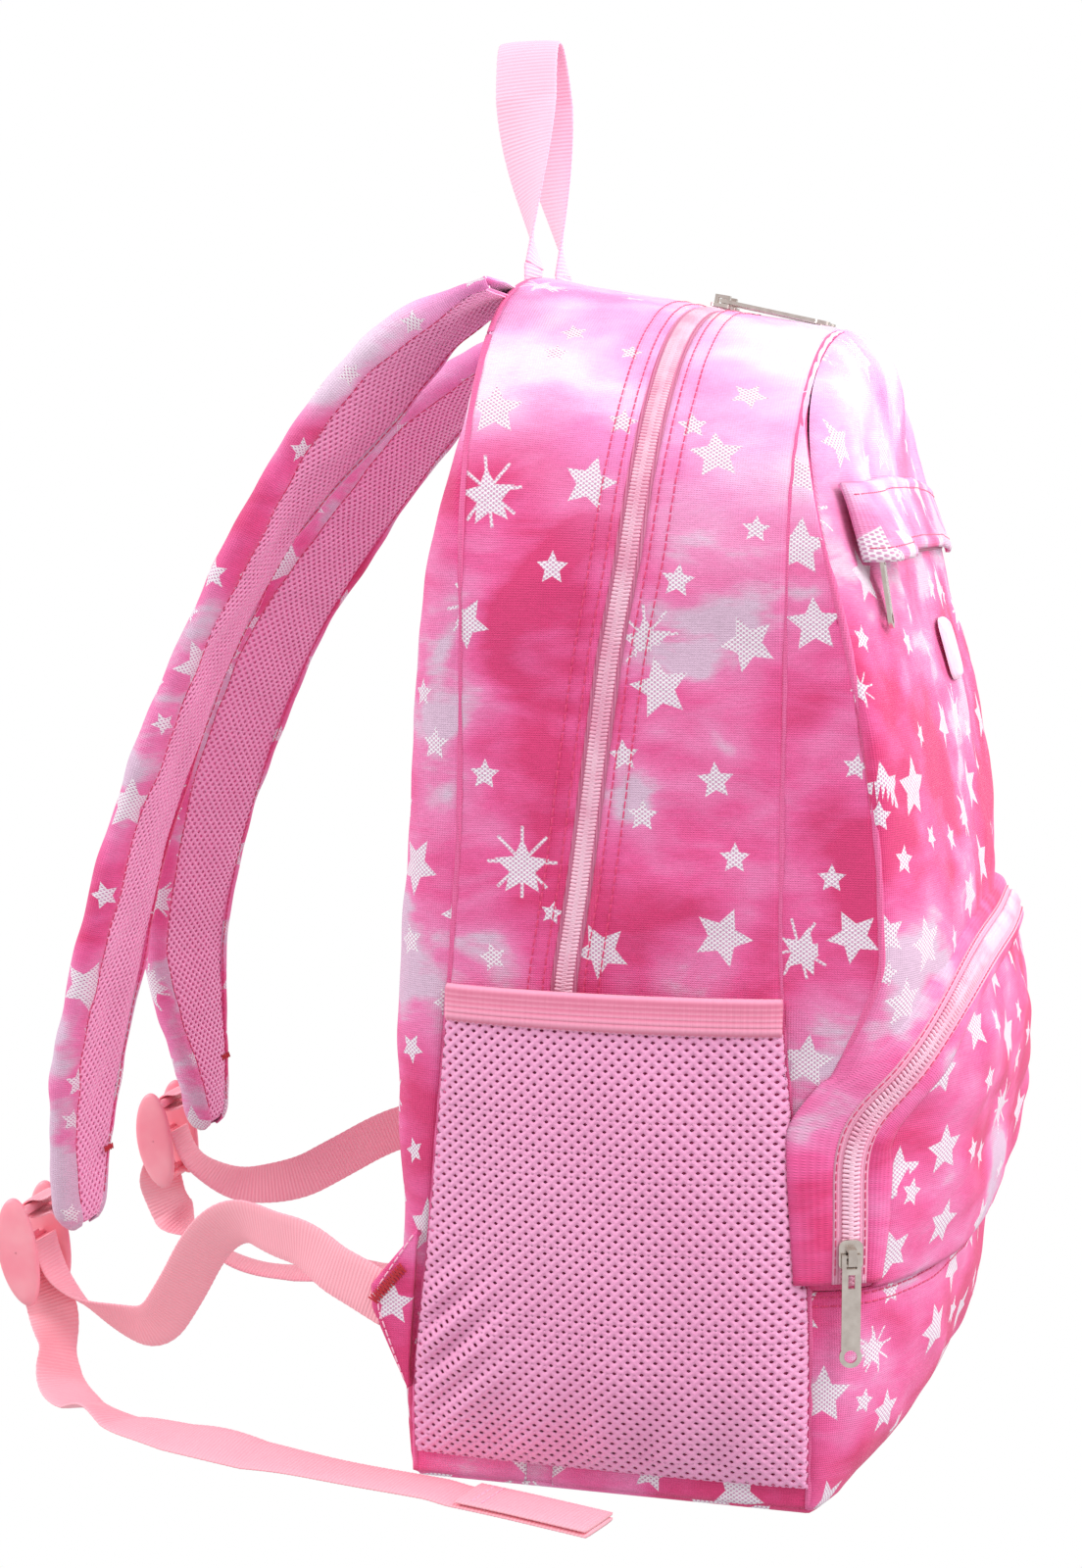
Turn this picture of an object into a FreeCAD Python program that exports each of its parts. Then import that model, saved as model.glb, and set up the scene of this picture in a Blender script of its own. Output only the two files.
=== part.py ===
import FreeCAD, Part
import math
import os

Vec = FreeCAD.Vector
os.makedirs("parts", exist_ok=True)

# School backpack, in millimetres. +Z is up, -Y is the front with the pockets, +Y the wearer's side,
# -X the wearer's left. The origin is the middle of the base, on the floor.

# ---- driving sizes ----
HALF_WIDTH = 145.0       # main compartment, side plane to middle
SPRING_HEIGHT = 320.0    # the straight sides turn into the arch here
TOP_HEIGHT = 439.0       # arch height at y = 0
TOP_SLOPE = 0.19         # the top rises towards the back
ARCH_POWER = 2.35
SIDE_SHARE = 0.62        # share of the outline parameter used by the straight side
FABRIC = 2.0             # canvas with its padding
LINING = 1.2
BASE_THICK = 3.0
GAP = 0.5                # between pieces of different bodies

ZIP_HALF = 5.5           # half the slot between the two fabric edges of the main zip
COIL_HALF = 2.8
ZIP_END = 30.0           # height where the main zip starts, behind the side pockets
TAPE_WIDTH = 13.0
TAPE_THICK = 0.9
COIL_THICK = 2.2

POCKET_TOP = 187.0       # side pocket, top of its elastic
ELASTIC_HEIGHT = 11.0
POCKET_FLOOR = 12.0
POCKET_BULGE = 15.0

WEB_WIDTH = 20.0
WEB_THICK = 1.6
HANDLE_WIDTH = 25.0
STRAP_WIDTH = 58.0
STRAP_THICK = 11.0

LOWER_SEAM = 84.0        # fold line of the lower pocket
LOWER_TOP = 197.0        # crown of the lower pocket's arch zip
LOWER_HALF = 142.0
LOWER_SPRING = 130.0
LOWER_PROUD = 10.0
FRONT_CROWN = 0.92
SIDE_FALL = 0.2          # how much rounder the front is than a plain box, at its sides
BACK_CROWN = 1.17
ARCH_PROUD = 3.2         # how far the arch zip stands out
LOWER_EDGE = 9.6         # the pocket's fabric starts this far inside its zip

FLAP_TOP = 371.0
FLAP_HEIGHT = 27.0
FLAP_HALF = 127.0
UPPER_ZIP = 350.0
UPPER_HALF = 122.0
LEVEL_BELOW = 30.0       # the webbing tails lie flat below this height

X_AXIS = Vec(1, 0, 0)
Z_AXIS = Vec(0, 0, 1)

MAIN_SLIDER_X = 7.0
PULL_LIE = (0, -1, -0.23)
UPPER_SLIDER_X = 114.0
LOWER_SLIDER_Z = 98.0
LOCK_LEFT = (-75, 262, 74)
LOCK_RIGHT = (75, 267, 84)
LOOP_REACH = 10.5
TAB_THICK = 2.5
SLEEVE_GAP = 26.0

STRAP_X = 75.0
STRAP_PATH_LEFT = [(72, 437), (95, 424), (119, 399), (142, 373), (161, 346), (186, 300), (202, 262),
                   (215, 228), (225, 191), (236, 147), (242, 108), (244, 66)]
STRAP_PATH_RIGHT = [(72, 438), (104, 424), (138, 400), (160, 376), (186, 343), (210, 308), (230, 266),
                    (245, 224), (255, 186), (259, 155), (256, 126), (252, 103), (249, 72)]

# Middle lines of the straps as (y, z), and of the handle and webbings as (x, y, z).
HANDLE_ROUTE = [(-24, 64.5, 454.4), (-23, 66, 472), (-19, 69, 500), (-12, 71, 530), (-5, 72, 545),
                (5, 72, 545), (12, 71, 530), (19, 69, 500), (23, 66, 472), (24, 64.5, 454.4)]
LOWER_WEB_LEFT = [(-75, 260, 60), (-75, 258, 48), (-76, 246, 35), (-79, 226, 27), (-85, 207, 29), (-93, 193, 46),
                  (-101, 179, 70), (-110, 163, 82), (-120, 145, 83), (-130, 125, 80), (-140, 101, 71)]
LOWER_WEB_RIGHT = [(75, 264, 70), (75, 261, 58), (76, 248, 49), (79, 229, 45), (86, 210, 46), (96, 193, 55),
                   (106, 175, 66), (116, 157, 70), (126, 138, 70), (134, 119, 69), (140, 101, 70)]
TAIL_LEFT = [(-75, 270.5, 58), (-75, 271.5, 38), (-78, 265, 19), (-84, 250, 7), (-92, 232, 2), (-103, 211, 3),
             (-114, 190, 1.5), (-126, 165, 1.5), (-138, 138, 3), (-149, 110, 1.5), (-158, 80, 2.2),
             (-165, 50, 2.6), (-171, 22, 2.6), (-175, 0, 2.6)]
TAIL_RIGHT = [(75, 275.5, 68), (75, 276, 46), (76, 266, 25), (78, 248, 11), (81, 230, 3), (84, 208, 1.5),
              (88, 186, 1.5), (93, 165, 3), (101, 146, 1.5), (113, 130, 1.6), (129, 120, 2.4),
              (147, 115, 2.6), (165, 113, 2.6), (181, 112, 2.6)]


# ---- curves ----
def smooth(table):
    """Smooth curve through (key, value) pairs, with rising keys."""
    keys = [pair[0] for pair in table]
    values = [pair[1] for pair in table]
    last = len(keys) - 1
    slopes = []
    for i in range(last + 1):
        low = max(0, i - 1)
        high = min(last, i + 1)
        slopes.append((values[high] - values[low]) / (keys[high] - keys[low]))

    def value(key):
        key = min(max(key, keys[0]), keys[last])
        i = 0
        while i < last - 1 and key > keys[i + 1]:
            i += 1
        span = keys[i + 1] - keys[i]
        t = (key - keys[i]) / span
        start = (1 + 2 * t) * (1 - t) ** 2 * values[i] + t * (1 - t) ** 2 * span * slopes[i]
        end = t * t * (3 - 2 * t) * values[i + 1] + t * t * (t - 1) * span * slopes[i + 1]
        return start + end

    return value


# Depth of each seam against height, on the side of the bag.
back_seam = smooth([(0, 77), (40, 77), (98, 71), (171, 65), (240, 60), (300, 59), (400, 60), (451, 63)])
front_seam = smooth([(0, -69), (60, -69), (100, -67), (190, -58), (300, -58), (427, -58)])
zip_line = smooth([(0, 30), (100, 27), (187, 21), (227, 15), (303, 5), (344, -2), (400, -7), (440, -8)])
back_crown = smooth([(0, 3), (34, 6), (100, 14), (133, 18), (188, 22), (260, 22), (330, 16), (400, 5), (451, 0)])
# Depth in front of the front seam: in the middle, and at the side edge of the front panel.
middle_depth = smooth([(0, 4), (25, 31), (52, 45), (84, 52), (121, 58), (160, 62), (200, 61), (241, 56),
                       (290, 46), (328, 35), (377, 21), (427, 16)])
pocket_rise = smooth([(84, 0.5), (109, 1.0), (130, 1.2), (158, 1.4), (180, 0.9), (197, 0.6)])
edge_depth = smooth([(0, 0), (140, 0), (164, 17), (196, 33), (213, 34), (245, 32), (284, 26), (322, 18),
                     (370, 6), (399, 0), (427, 0)])


def mix(a, b, t):
    return a + (b - a) * t


def steps(low, high, count):
    return [mix(low, high, i / (count - 1)) for i in range(count)]


def top_height(y):
    return TOP_HEIGHT + TOP_SLOPE * y


def arch_point(s, y):
    """Outline point (x, z): s is -1 at the left base, 0 at the top, 1 at the right base."""
    side = 1.0 if s >= 0 else -1.0
    climb = 1.0 - abs(s)
    if climb <= SIDE_SHARE:
        return side * HALF_WIDTH, SPRING_HEIGHT * climb / SIDE_SHARE
    angle = (climb - SIDE_SHARE) / (1.0 - SIDE_SHARE) * math.pi / 2
    power = 2.0 / ARCH_POWER
    x = side * HALF_WIDTH * max(math.cos(angle), 0.0) ** power
    z = SPRING_HEIGHT + (top_height(y) - SPRING_HEIGHT) * math.sin(angle) ** power
    return x, z


def arch_height(x, y):
    """Height of the outline at x."""
    u = min(abs(x) / HALF_WIDTH, 1.0)
    return SPRING_HEIGHT + (top_height(y) - SPRING_HEIGHT) * (1 - u ** ARCH_POWER) ** (1 / ARCH_POWER)


def outline_stations(low):
    """Values of s from one base end to the other, starting at height low, closer at the arch."""
    start = low / SPRING_HEIGHT * SIDE_SHARE
    left = [start, mix(start, SIDE_SHARE, 0.3), mix(start, SIDE_SHARE, 0.6), mix(start, SIDE_SHARE, 0.85)]
    left += [SIDE_SHARE + (1 - SIDE_SHARE) * i / 8 for i in range(9)]
    return [climb - 1.0 for climb in left] + [1.0 - climb for climb in reversed(left[:-1])]


def front_y(x, z):
    """Depth of the front panel's outer surface."""
    u = min(abs(x) / HALF_WIDTH, 1.0)
    rim = min(max((arch_height(x, -58.0) - z) / 25.0, 0.0), 1.0)
    crown = FRONT_CROWN * (1 - SIDE_FALL * u ** 1.5) * math.sqrt(1 - u ** 4) * math.sqrt(1 - (1 - rim) ** 2)
    edge = edge_depth(z)
    return front_seam(z) - edge - (middle_depth(z) - edge) * crown


def back_y(x, z):
    """Depth of the back panel's outer surface."""
    u = min(abs(x) / HALF_WIDTH, 1.0)
    rim = min(max((arch_height(x, 62.0) - z) / 60.0, 0.0), 1.0)
    crown = BACK_CROWN * math.sqrt(1 - u ** 20) * math.sqrt(1 - (1 - rim) ** 2)
    return back_seam(z) + back_crown(z) * crown


# ---- solids ----
def polygon(points):
    return Part.makePolygon(points + [points[0]])


def cross_unit(a, b):
    n = a.cross(b)
    n.normalize()
    return n


def grid_normals(rows):
    """Unit normals of a grid of points, from its neighbours."""
    normals = []
    for i, row in enumerate(rows):
        before = rows[max(i - 1, 0)]
        after = rows[min(i + 1, len(rows) - 1)]
        line = []
        for j in range(len(row)):
            along = after[j] - before[j]
            across = row[min(j + 1, len(row) - 1)] - row[max(j - 1, 0)]
            line.append(cross_unit(along, across))
        normals.append(line)
    return normals


def flat_normals(line, end_axis):
    """Normals of an end row, kept in one plane so that the end closes flat."""
    if end_axis is None:
        total = Vec(0, 0, 0)
        for n in line:
            total += n
        total.normalize()
        return [total] * len(line)
    flat = []
    for n in line:
        m = n - end_axis * n.dot(end_axis)
        m.normalize()
        flat.append(m)
    return flat


def skin(rows, outer, inner, end_axis=None):
    """Closed sheet between two offsets of a grid of points."""
    normals = grid_normals(rows)
    normals[0] = flat_normals(normals[0], end_axis)
    normals[-1] = flat_normals(normals[-1], end_axis)
    sections = []
    for row, line in zip(rows, normals):
        upper = [p + n * outer for p, n in zip(row, line)]
        under = [p + n * inner for p, n in zip(row, line)]
        sections.append(polygon(upper + under[::-1]))
    return Part.makeLoft(sections, True, True)


def box(low, high):
    size = Vec(*high) - Vec(*low)
    return Part.makeBox(size.x, size.y, size.z, Vec(*low))


def save(shape, node):
    if shape.Volume < 0:
        shape.reverse()
    if not shape.isValid():
        print("not valid:", node)
    print(node, "volume", round(shape.Volume), "solids", len(shape.Solids))
    shape.exportStep("parts/" + node + ".step")


def place(shape, origin, along, out):
    """Put a local shape at origin, its +X along the zip and its +Z pointing out."""
    along = Vec(*along)
    out = Vec(*out)
    across = cross_unit(out, along)
    along = cross_unit(across, out)
    out.normalize()
    matrix = FreeCAD.Matrix(along.x, across.x, out.x, origin[0],
                            along.y, across.y, out.y, origin[1],
                            along.z, across.z, out.z, origin[2],
                            0, 0, 0, 1)
    copy = shape.copy()
    copy.Placement = FreeCAD.Placement(matrix)
    return copy


# ---- the gusset, its zip and the base ----
def band(low_y, high_y, stations, columns, outer, inner):
    """Strip of the arch between two depth curves."""
    rows = []
    for s in stations:
        height = arch_point(s, 0.0)[1]
        row = []
        for v in steps(0.0, 1.0, columns):
            y = mix(low_y(height), high_y(height), v)
            x, z = arch_point(s, y)
            row.append(Vec(x, y, z))
        rows.append(row)
    return skin(rows, outer, inner)


def beside_zip(distance):
    return lambda z: zip_line(z) + distance


def make_gussets():
    body_stations = outline_stations(BASE_THICK + GAP)
    zip_stations = outline_stations(ZIP_END)
    under_fabric = -FABRIC - 0.1

    def back_edge(z):
        return back_seam(z) - FABRIC - 0.3

    def front_edge(z):
        return front_seam(z) + LINING + 0.9

    save(band(beside_zip(ZIP_HALF), back_edge, body_stations, 5, 0.0, -FABRIC), "rear_gusset")
    save(band(beside_zip(COIL_HALF), beside_zip(COIL_HALF + TAPE_WIDTH), zip_stations, 2,
              under_fabric, under_fabric - TAPE_THICK), "rear_zip_tape")
    save(band(beside_zip(0.2), beside_zip(COIL_HALF), zip_stations, 2,
              under_fabric + 1.0, under_fabric + 1.0 - COIL_THICK), "rear_zip_coil")
    save(band(front_edge, beside_zip(-ZIP_HALF), body_stations, 4, 0.0, -FABRIC), "front_gusset")
    save(band(beside_zip(-COIL_HALF - TAPE_WIDTH), beside_zip(-COIL_HALF), zip_stations, 2,
              under_fabric, under_fabric - TAPE_THICK), "front_zip_tape")
    save(band(beside_zip(-COIL_HALF), beside_zip(-0.2), zip_stations, 2,
              under_fabric + 1.0, under_fabric + 1.0 - COIL_THICK), "front_zip_coil")


def make_base():
    base = box((-HALF_WIDTH + 1, -64, 0), (HALF_WIDTH - 1, 76, BASE_THICK))
    corners = [e for e in base.Edges if abs(e.Vertexes[0].Z - e.Vertexes[1].Z) > 1]
    save(base.makeFillet(12.0, corners), "base_panel")


# ---- panels that close the arch ----
def panel_rows(surface, low, top_y, inset, columns):
    """Rows of a panel that fills the arch, one row for each x."""
    half = HALF_WIDTH - inset
    right = [half * math.cos(math.pi / 2 * i / 8) ** (2 / ARCH_POWER) for i in range(8)]
    rows = []
    for x in [-x for x in right] + [0.0] + right[::-1]:
        top = arch_height(x * HALF_WIDTH / half, top_y) - inset
        row = []
        for t in steps(0.0, 1.0, columns):
            z = mix(low, top, 1 - (1 - t) ** 1.6)
            row.append(Vec(x, surface(x, z), z))
        rows.append(row)
    return rows


def even_rows(surface, half, low, high, columns, count=15):
    """Rows of a panel with straight sides, low and high being functions of x."""
    rows = []
    for x in steps(-half, half, count):
        row = [Vec(x, surface(x, z), z) for z in steps(low(x), high(x), columns)]
        rows.append(row)
    return rows


def make_panels():
    save(skin(panel_rows(back_y, BASE_THICK + GAP, 62.0, 0.0, 10), 0.0, FABRIC, X_AXIS), "back_panel")

    def foam_y(x, z):
        return back_y(x, z) - FABRIC - 1.5

    save(skin(panel_rows(foam_y, 12.0, 62.0, 15.0, 8), 0.0, 7.0, X_AXIS), "back_foam")

    def wall_y(x, z):
        return front_seam(z)

    save(skin(panel_rows(wall_y, BASE_THICK + GAP, -58.0, 3.0, 8), -LINING, 0.0, X_AXIS), "front_wall")
    save(skin(panel_rows(front_y, LOWER_SEAM, -58.0, 0.0, 14), 0.0, -LINING, X_AXIS), "front_panel")

    def floor_of_front(x):
        return BASE_THICK + GAP

    def seam_height(x):
        return LOWER_SEAM - GAP

    save(skin(even_rows(front_y, HALF_WIDTH, floor_of_front, seam_height, 6, 21), 0.0, -LINING, X_AXIS),
         "lower_front_panel")


def make_second_gussets():
    """Slivers between the front seam and the front panel, one on each side."""
    heights = [150, 164, 180, 196, 213, 245, 284, 301, 322, 345, 370, 392]
    for side, name in ((-1, "left"), (1, "right")):
        rows = []
        for height in heights:
            x = HALF_WIDTH
            if height > SPRING_HEIGHT:
                share = (height - SPRING_HEIGHT) / (top_height(-60.0) - SPRING_HEIGHT)
                x = HALF_WIDTH * (1 - share ** ARCH_POWER) ** (1 / ARCH_POWER)
            seam = front_seam(height)
            depth = max(edge_depth(height) - LINING - 0.5, 0.5)
            rows.append([Vec(side * x, mix(seam, seam - depth, v), height) for v in (0.0, 0.5, 1.0)])
        save(skin(rows, 0.0, -side * LINING, Z_AXIS), "second_gusset_" + name)


# ---- mesh side pockets ----
def pocket_gap(y, z):
    """Distance of the mesh from the side of the bag."""
    v = (y - front_seam(z)) / (back_seam(z) - front_seam(z))
    v = min(max(v, 0.0), 1.0)
    rise = min((z - POCKET_FLOOR) / 45.0, 1.0)
    fall = 1.0 - 0.45 * max(0.0, (z - 90.0) / (POCKET_TOP - 90.0)) ** 1.5
    return GAP + POCKET_BULGE * math.sin(math.pi * v) ** 0.6 * math.sin(math.pi / 2 * rise) ** 0.7 * fall


def pocket_rows(side, low, high, count):
    rows = []
    for z in steps(low, high, count):
        row = []
        for v in steps(0.0, 1.0, 15):
            y = mix(front_seam(z), back_seam(z), v)
            row.append(Vec(side * (HALF_WIDTH + pocket_gap(y, z)), y, z))
        rows.append(row)
    return rows


def make_side_pockets():
    elastic_low = POCKET_TOP - ELASTIC_HEIGHT
    for side, name in ((-1, "left"), (1, "right")):
        mesh = skin(pocket_rows(side, POCKET_FLOOR, elastic_low, 13), 0.0, -side * 1.5, Z_AXIS)
        save(mesh, "side_pocket_mesh_" + name)
        elastic = skin(pocket_rows(side, elastic_low + 0.2, POCKET_TOP, 3), 0.0, -side * 2.0, Z_AXIS)
        save(elastic, "side_pocket_elastic_" + name)


# ---- lower pocket with its arch zip ----
def lower_top(x):
    """Height of the arch zip at x."""
    u = min(abs(x) / LOWER_HALF, 1.0)
    return LOWER_SPRING + (LOWER_TOP - LOWER_SPRING) * (1 - u ** 4) ** (1 / 2.2)


def lower_y(x, z):
    """Outer surface of the lower pocket, which stands proud of the front panel."""
    u = min(abs(x) / HALF_WIDTH, 1.0)
    proud = LOWER_PROUD * pocket_rise(z)
    return front_y(x, z) - proud * (0.4 + 0.6 * math.sqrt(1 - u ** 4))


def arch_path():
    """Points of the arch zip's middle line and the direction that it faces."""
    spots = [(-LOWER_HALF, z) for z in steps(LOWER_SEAM + 3.0, LOWER_SPRING, 5)]
    for i in range(1, 24):
        angle = math.pi * i / 24
        u = -math.cos(angle)
        x = LOWER_HALF * math.copysign(abs(u) ** 0.62, u)
        spots.append((x, lower_top(x)))
    spots += [(LOWER_HALF, z) for z in steps(LOWER_SPRING, LOWER_SEAM + 3.0, 5)]
    points = []
    for x, z in spots:
        points.append(Vec(x, mix(front_y(x, z), lower_y(x, z), 0.5) - ARCH_PROUD, z))
    return points


def panel_facing(point):
    """Outward direction of the front panel at a point."""
    step = 1.0
    x = max(min(point.x, HALF_WIDTH - 2 * step), -HALF_WIDTH + 2 * step)
    slope_x = (front_y(x + step, point.z) - front_y(x - step, point.z)) / (2 * step)
    slope_z = (front_y(x, point.z + step) - front_y(x, point.z - step)) / (2 * step)
    out = Vec(slope_x, -1.0, slope_z)
    out.normalize()
    return out


def arch_facing(point):
    """Outward direction of the arch zip, which leans upwards over the top of the pocket."""
    lift = max(0.0, (point.z - LOWER_SPRING) / (LOWER_TOP - LOWER_SPRING))
    out = panel_facing(point) + Vec(0, 0, 0.7 * lift)
    out.normalize()
    return out


def ribbon(points, facing, low, high, outer, inner):
    """Tape beside a line of points, from low to high across it."""
    rows = []
    for i, point in enumerate(points):
        along = points[min(i + 1, len(points) - 1)] - points[max(i - 1, 0)]
        across = cross_unit(along, facing(point))
        out = cross_unit(across, along)
        rows.append([point + across * low, point + across * high, out])
    sections = []
    for start, end, out in rows:
        sections.append(polygon([start + out * outer, end + out * outer,
                                 end + out * inner, start + out * inner]))
    return Part.makeLoft(sections, True, True)


def make_lower_pocket():
    half = LOWER_HALF - LOWER_EDGE

    def top(x):
        return lower_top(x * LOWER_HALF / half) - LOWER_EDGE

    rows = even_rows(lower_y, half, lambda x: LOWER_SEAM, top, 9, 25)
    save(skin(rows, 0.0, -LINING, X_AXIS), "lower_pocket_panel")
    points = arch_path()
    save(ribbon(points, arch_facing, 0.3, 9.0, 0.5, -0.7), "lower_zip_inner")
    save(ribbon(points, arch_facing, -9.0, -0.3, 0.5, -0.7), "lower_zip_outer")


# ---- upper pocket zip, under the storm flap ----
def upper_points(half, height, stand_off):
    return [Vec(x, front_y(x, height) - stand_off, height) for x in steps(-half, half, 17)]


def make_upper_pocket():
    points = upper_points(UPPER_HALF, UPPER_ZIP, 0.8)
    save(ribbon(points, panel_facing, -8.0, 8.0, 0.0, -0.5), "upper_zip_tape")
    points = upper_points(UPPER_HALF - 3.0, UPPER_ZIP, 1.6)
    save(ribbon(points, panel_facing, -COIL_HALF, COIL_HALF, 0.8, -0.7), "upper_zip_coil")

    rows = []
    for x in steps(-FLAP_HALF, FLAP_HALF, 17):
        row = []
        for t in steps(0.0, 1.0, 4):
            z = FLAP_TOP - FLAP_HEIGHT * t - 4.0 * (x / FLAP_HALF) ** 2
            row.append(Vec(x, front_y(x, z) - mix(1.5, 14.0, math.sqrt(t)), z))
        rows.append(row)
    save(skin(rows, 0.6, -0.6, X_AXIS), "storm_flap")
    rows = []
    for x in steps(-16.0, 16.0, 5):
        rows.append([Vec(x, front_y(x, z) - 0.3, z) for z in (292.0, 304.0, 316.0)])
    save(skin(rows, 0.0, 1.6, X_AXIS), "badge")


# ---- sliders and pulls ----
def slider_shape(length, width, height, bail_across):
    """Slider plate above the coil, its +X along the zip, with the bail that holds its pull."""
    plate = box((-length / 2, -width / 2, 0), (length / 2, width / 2, 1.4))
    upright = [e for e in plate.Edges if abs(e.Vertexes[0].Z - e.Vertexes[1].Z) > 1]
    plate = plate.makeFillet(width * 0.3, upright)
    bail = box((-3.0, -1.5, 1.3), (3.0, 1.5, height))
    bail = bail.cut(box((-1.6, -2.0, 1.3), (1.6, 2.0, height - 1.2)))
    if bail_across:
        bail.rotate(Vec(0, 0, 0), Vec(0, 0, 1), 90)
    return plate.fuse(bail).removeSplitter()


def pull_shape(length, width):
    """Flat pull along +X that turns about its end bar at the origin, with a window and an end ring."""
    body = box((-0.55, -width / 2 + 0.6, -0.7), (length - width + 1.6, width / 2 - 0.6, 0.7))
    ring = Part.makeCylinder(width / 2, 1.4, Vec(length - width / 2, 0, -0.7))
    hole = Part.makeCylinder(width / 2 - 1.7, 3.0, Vec(length - width / 2, 0, -1.5))
    slot = box((0.55, -1.9, -1.5), (4.4, 1.9, 1.5))
    window = box((6.5, -1.2, -1.5), (11.5, 1.2, 1.5))
    return body.fuse(ring).cut(hole).cut(slot).cut(window).removeSplitter()


def make_sliders():
    top_y = zip_line(TOP_HEIGHT)
    top_out = (0, -TOP_SLOPE, 1)
    for side, name in ((-1, "left"), (1, "right")):
        x = side * MAIN_SLIDER_X
        origin = (x, top_y, arch_height(x, top_y) + 0.4)
        save(place(slider_shape(10.0, 8.0, 5.0, True), origin, (1, 0, 0), top_out), "main_slider_" + name)
        pivot = (x, top_y - 0.5, origin[2] + 2.6)
        save(place(pull_shape(44.0, 7.0), pivot, PULL_LIE, (0, -0.23, 1)), "main_pull_" + name)

    x = -UPPER_SLIDER_X
    y = front_y(x, UPPER_ZIP)
    along = (10.0, front_y(x + 10.0, UPPER_ZIP) - y, 0)
    out = Vec(along[1], -along[0], 0)
    out.normalize()
    origin = Vec(x, y, UPPER_ZIP) + out * 3.3
    save(place(slider_shape(9.0, 7.5, 4.9, True), origin, along, out), "upper_slider")
    save(place(pull_shape(34.0, 7.0), origin + out * 2.6, (0, -0.16, -1), (0, -1, 0.16)), "upper_pull")

    points = arch_path()
    start = points[1]
    along = points[3] - points[1]
    out = Vec(-1.0, -0.35, 0)
    out.normalize()
    origin = Vec(-LOWER_HALF, start.y, LOWER_SLIDER_Z) + out * 1.7
    save(place(slider_shape(11.0, 8.5, 5.0, False), origin, along, out), "lower_slider")
    save(place(pull_shape(40.0, 8.0), origin + out * 2.6, (-0.06, -0.02, -1), out), "lower_pull")


# ---- shoulder straps ----
def strap_width(share):
    """Width along a strap, from its top to its narrow lower end."""
    if share < 0.8:
        return STRAP_WIDTH
    return mix(STRAP_WIDTH, 30.0, ((share - 0.8) / 0.2) ** 1.6)


def strap_rows(x, path, twist, inset):
    """Rows across a strap: one for each point of its middle line."""
    spline = Part.BSplineCurve()
    spline.interpolate([Vec(x, y, z) for y, z in path])
    count = 19
    points = spline.discretize(Number=count)
    rows = []
    for i, point in enumerate(points):
        share = i / (count - 1)
        turn = math.radians(twist(share))
        across = Vec(math.cos(turn), math.sin(turn), 0)
        half = strap_width(share) / 2 - inset
        rows.append([point - across * half, point, point + across * half])
    return rows


def left_twist(share):
    return 5.0 * math.sin(math.pi * min(share / 0.75, 1.0)) ** 0.8


def right_twist(share):
    return -24.0 * math.sin(math.pi * min(share / 0.95, 1.0)) ** 0.8


def make_strap(x, path, twist, name):
    rows = strap_rows(x, path, twist, 0.0)
    face = STRAP_THICK / 2
    # the rows' normals point at the bag, so the cover is on their negative side
    save(skin(rows, -face + 1.5, -face), "strap_cover_" + name)
    save(skin(strap_rows(x, path, twist, 1.5), face - 1.6, -face + 1.6), "strap_foam_" + name)
    save(skin(rows, face, face - 1.5), "strap_mesh_" + name)


def make_straps():
    make_strap(-STRAP_X, STRAP_PATH_LEFT, left_twist, "left")
    make_strap(STRAP_X, STRAP_PATH_RIGHT, right_twist, "right")


# ---- webbing ----
def web_path(route, count):
    """Smooth line that follows a route of control points."""
    points = [Vec(*p) for p in route]
    inner = len(points) - 2
    knots = [i / inner for i in range(inner + 1)]
    curve = Part.BSplineCurve()
    curve.buildFromPolesMultsKnots(points, [3] + [1] * (inner - 1) + [3], knots, False, 2)
    return curve.discretize(Number=count)


def web_frames(points):
    """Width direction at each point: it starts along X, isn't twisted, and turns level near the floor."""
    frames = []
    last = len(points) - 1
    across = X_AXIS
    for i, point in enumerate(points):
        along = points[min(i + 1, last)] - points[max(i - 1, 0)]
        along.normalize()
        across = across - along * across.dot(along)
        across.normalize()
        near_floor = min(max((LEVEL_BELOW - point.z) / (LEVEL_BELOW / 2), 0.0), 1.0)
        if near_floor > 0:
            level = cross_unit(Z_AXIS, along)
            if level.dot(across) < 0:
                level = -level
            across = across * (1 - near_floor) + level * near_floor
            across.normalize()
        frames.append((across, cross_unit(across, along)))
    return frames


def web_solid(points, frames, width, thick):
    """Flat webbing along a line."""
    sections = []
    for point, (across, out) in zip(points, frames):
        a = across * (width / 2)
        b = out * (thick / 2)
        sections.append(polygon([point - a - b, point + a - b, point + a + b, point - a + b]))
    return Part.makeLoft(sections, True, True)


def make_handle():
    points = web_path(HANDLE_ROUTE, 33)
    sections = []
    last = len(points) - 1
    for i, point in enumerate(points):
        along = points[min(i + 1, last)] - points[max(i - 1, 0)]
        along.normalize()
        share = 1 - abs(2 * i / last - 1)
        turn = math.radians(90 * min(share / 0.7, 1.0))
        across = Vec(math.cos(turn), math.sin(turn), 0)
        across = across - along * across.dot(along)
        across.normalize()
        out = cross_unit(across, along)
        a = across * (HANDLE_WIDTH / 2)
        b = out * (WEB_THICK / 2)
        sections.append(polygon([point - a - b, point + a - b, point + a + b, point - a + b]))
    save(Part.makeLoft(sections, True, True), "grab_handle")
    ends = []
    for x in (-24.0, 24.0):
        low = (x - HANDLE_WIDTH / 2, 64.5 - WEB_THICK / 2, 428.0)
        ends.append(box(low, (x + HANDLE_WIDTH / 2, 64.5 + WEB_THICK / 2, 452.7)))
    save(Part.makeCompound(ends), "handle_ends")


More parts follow.
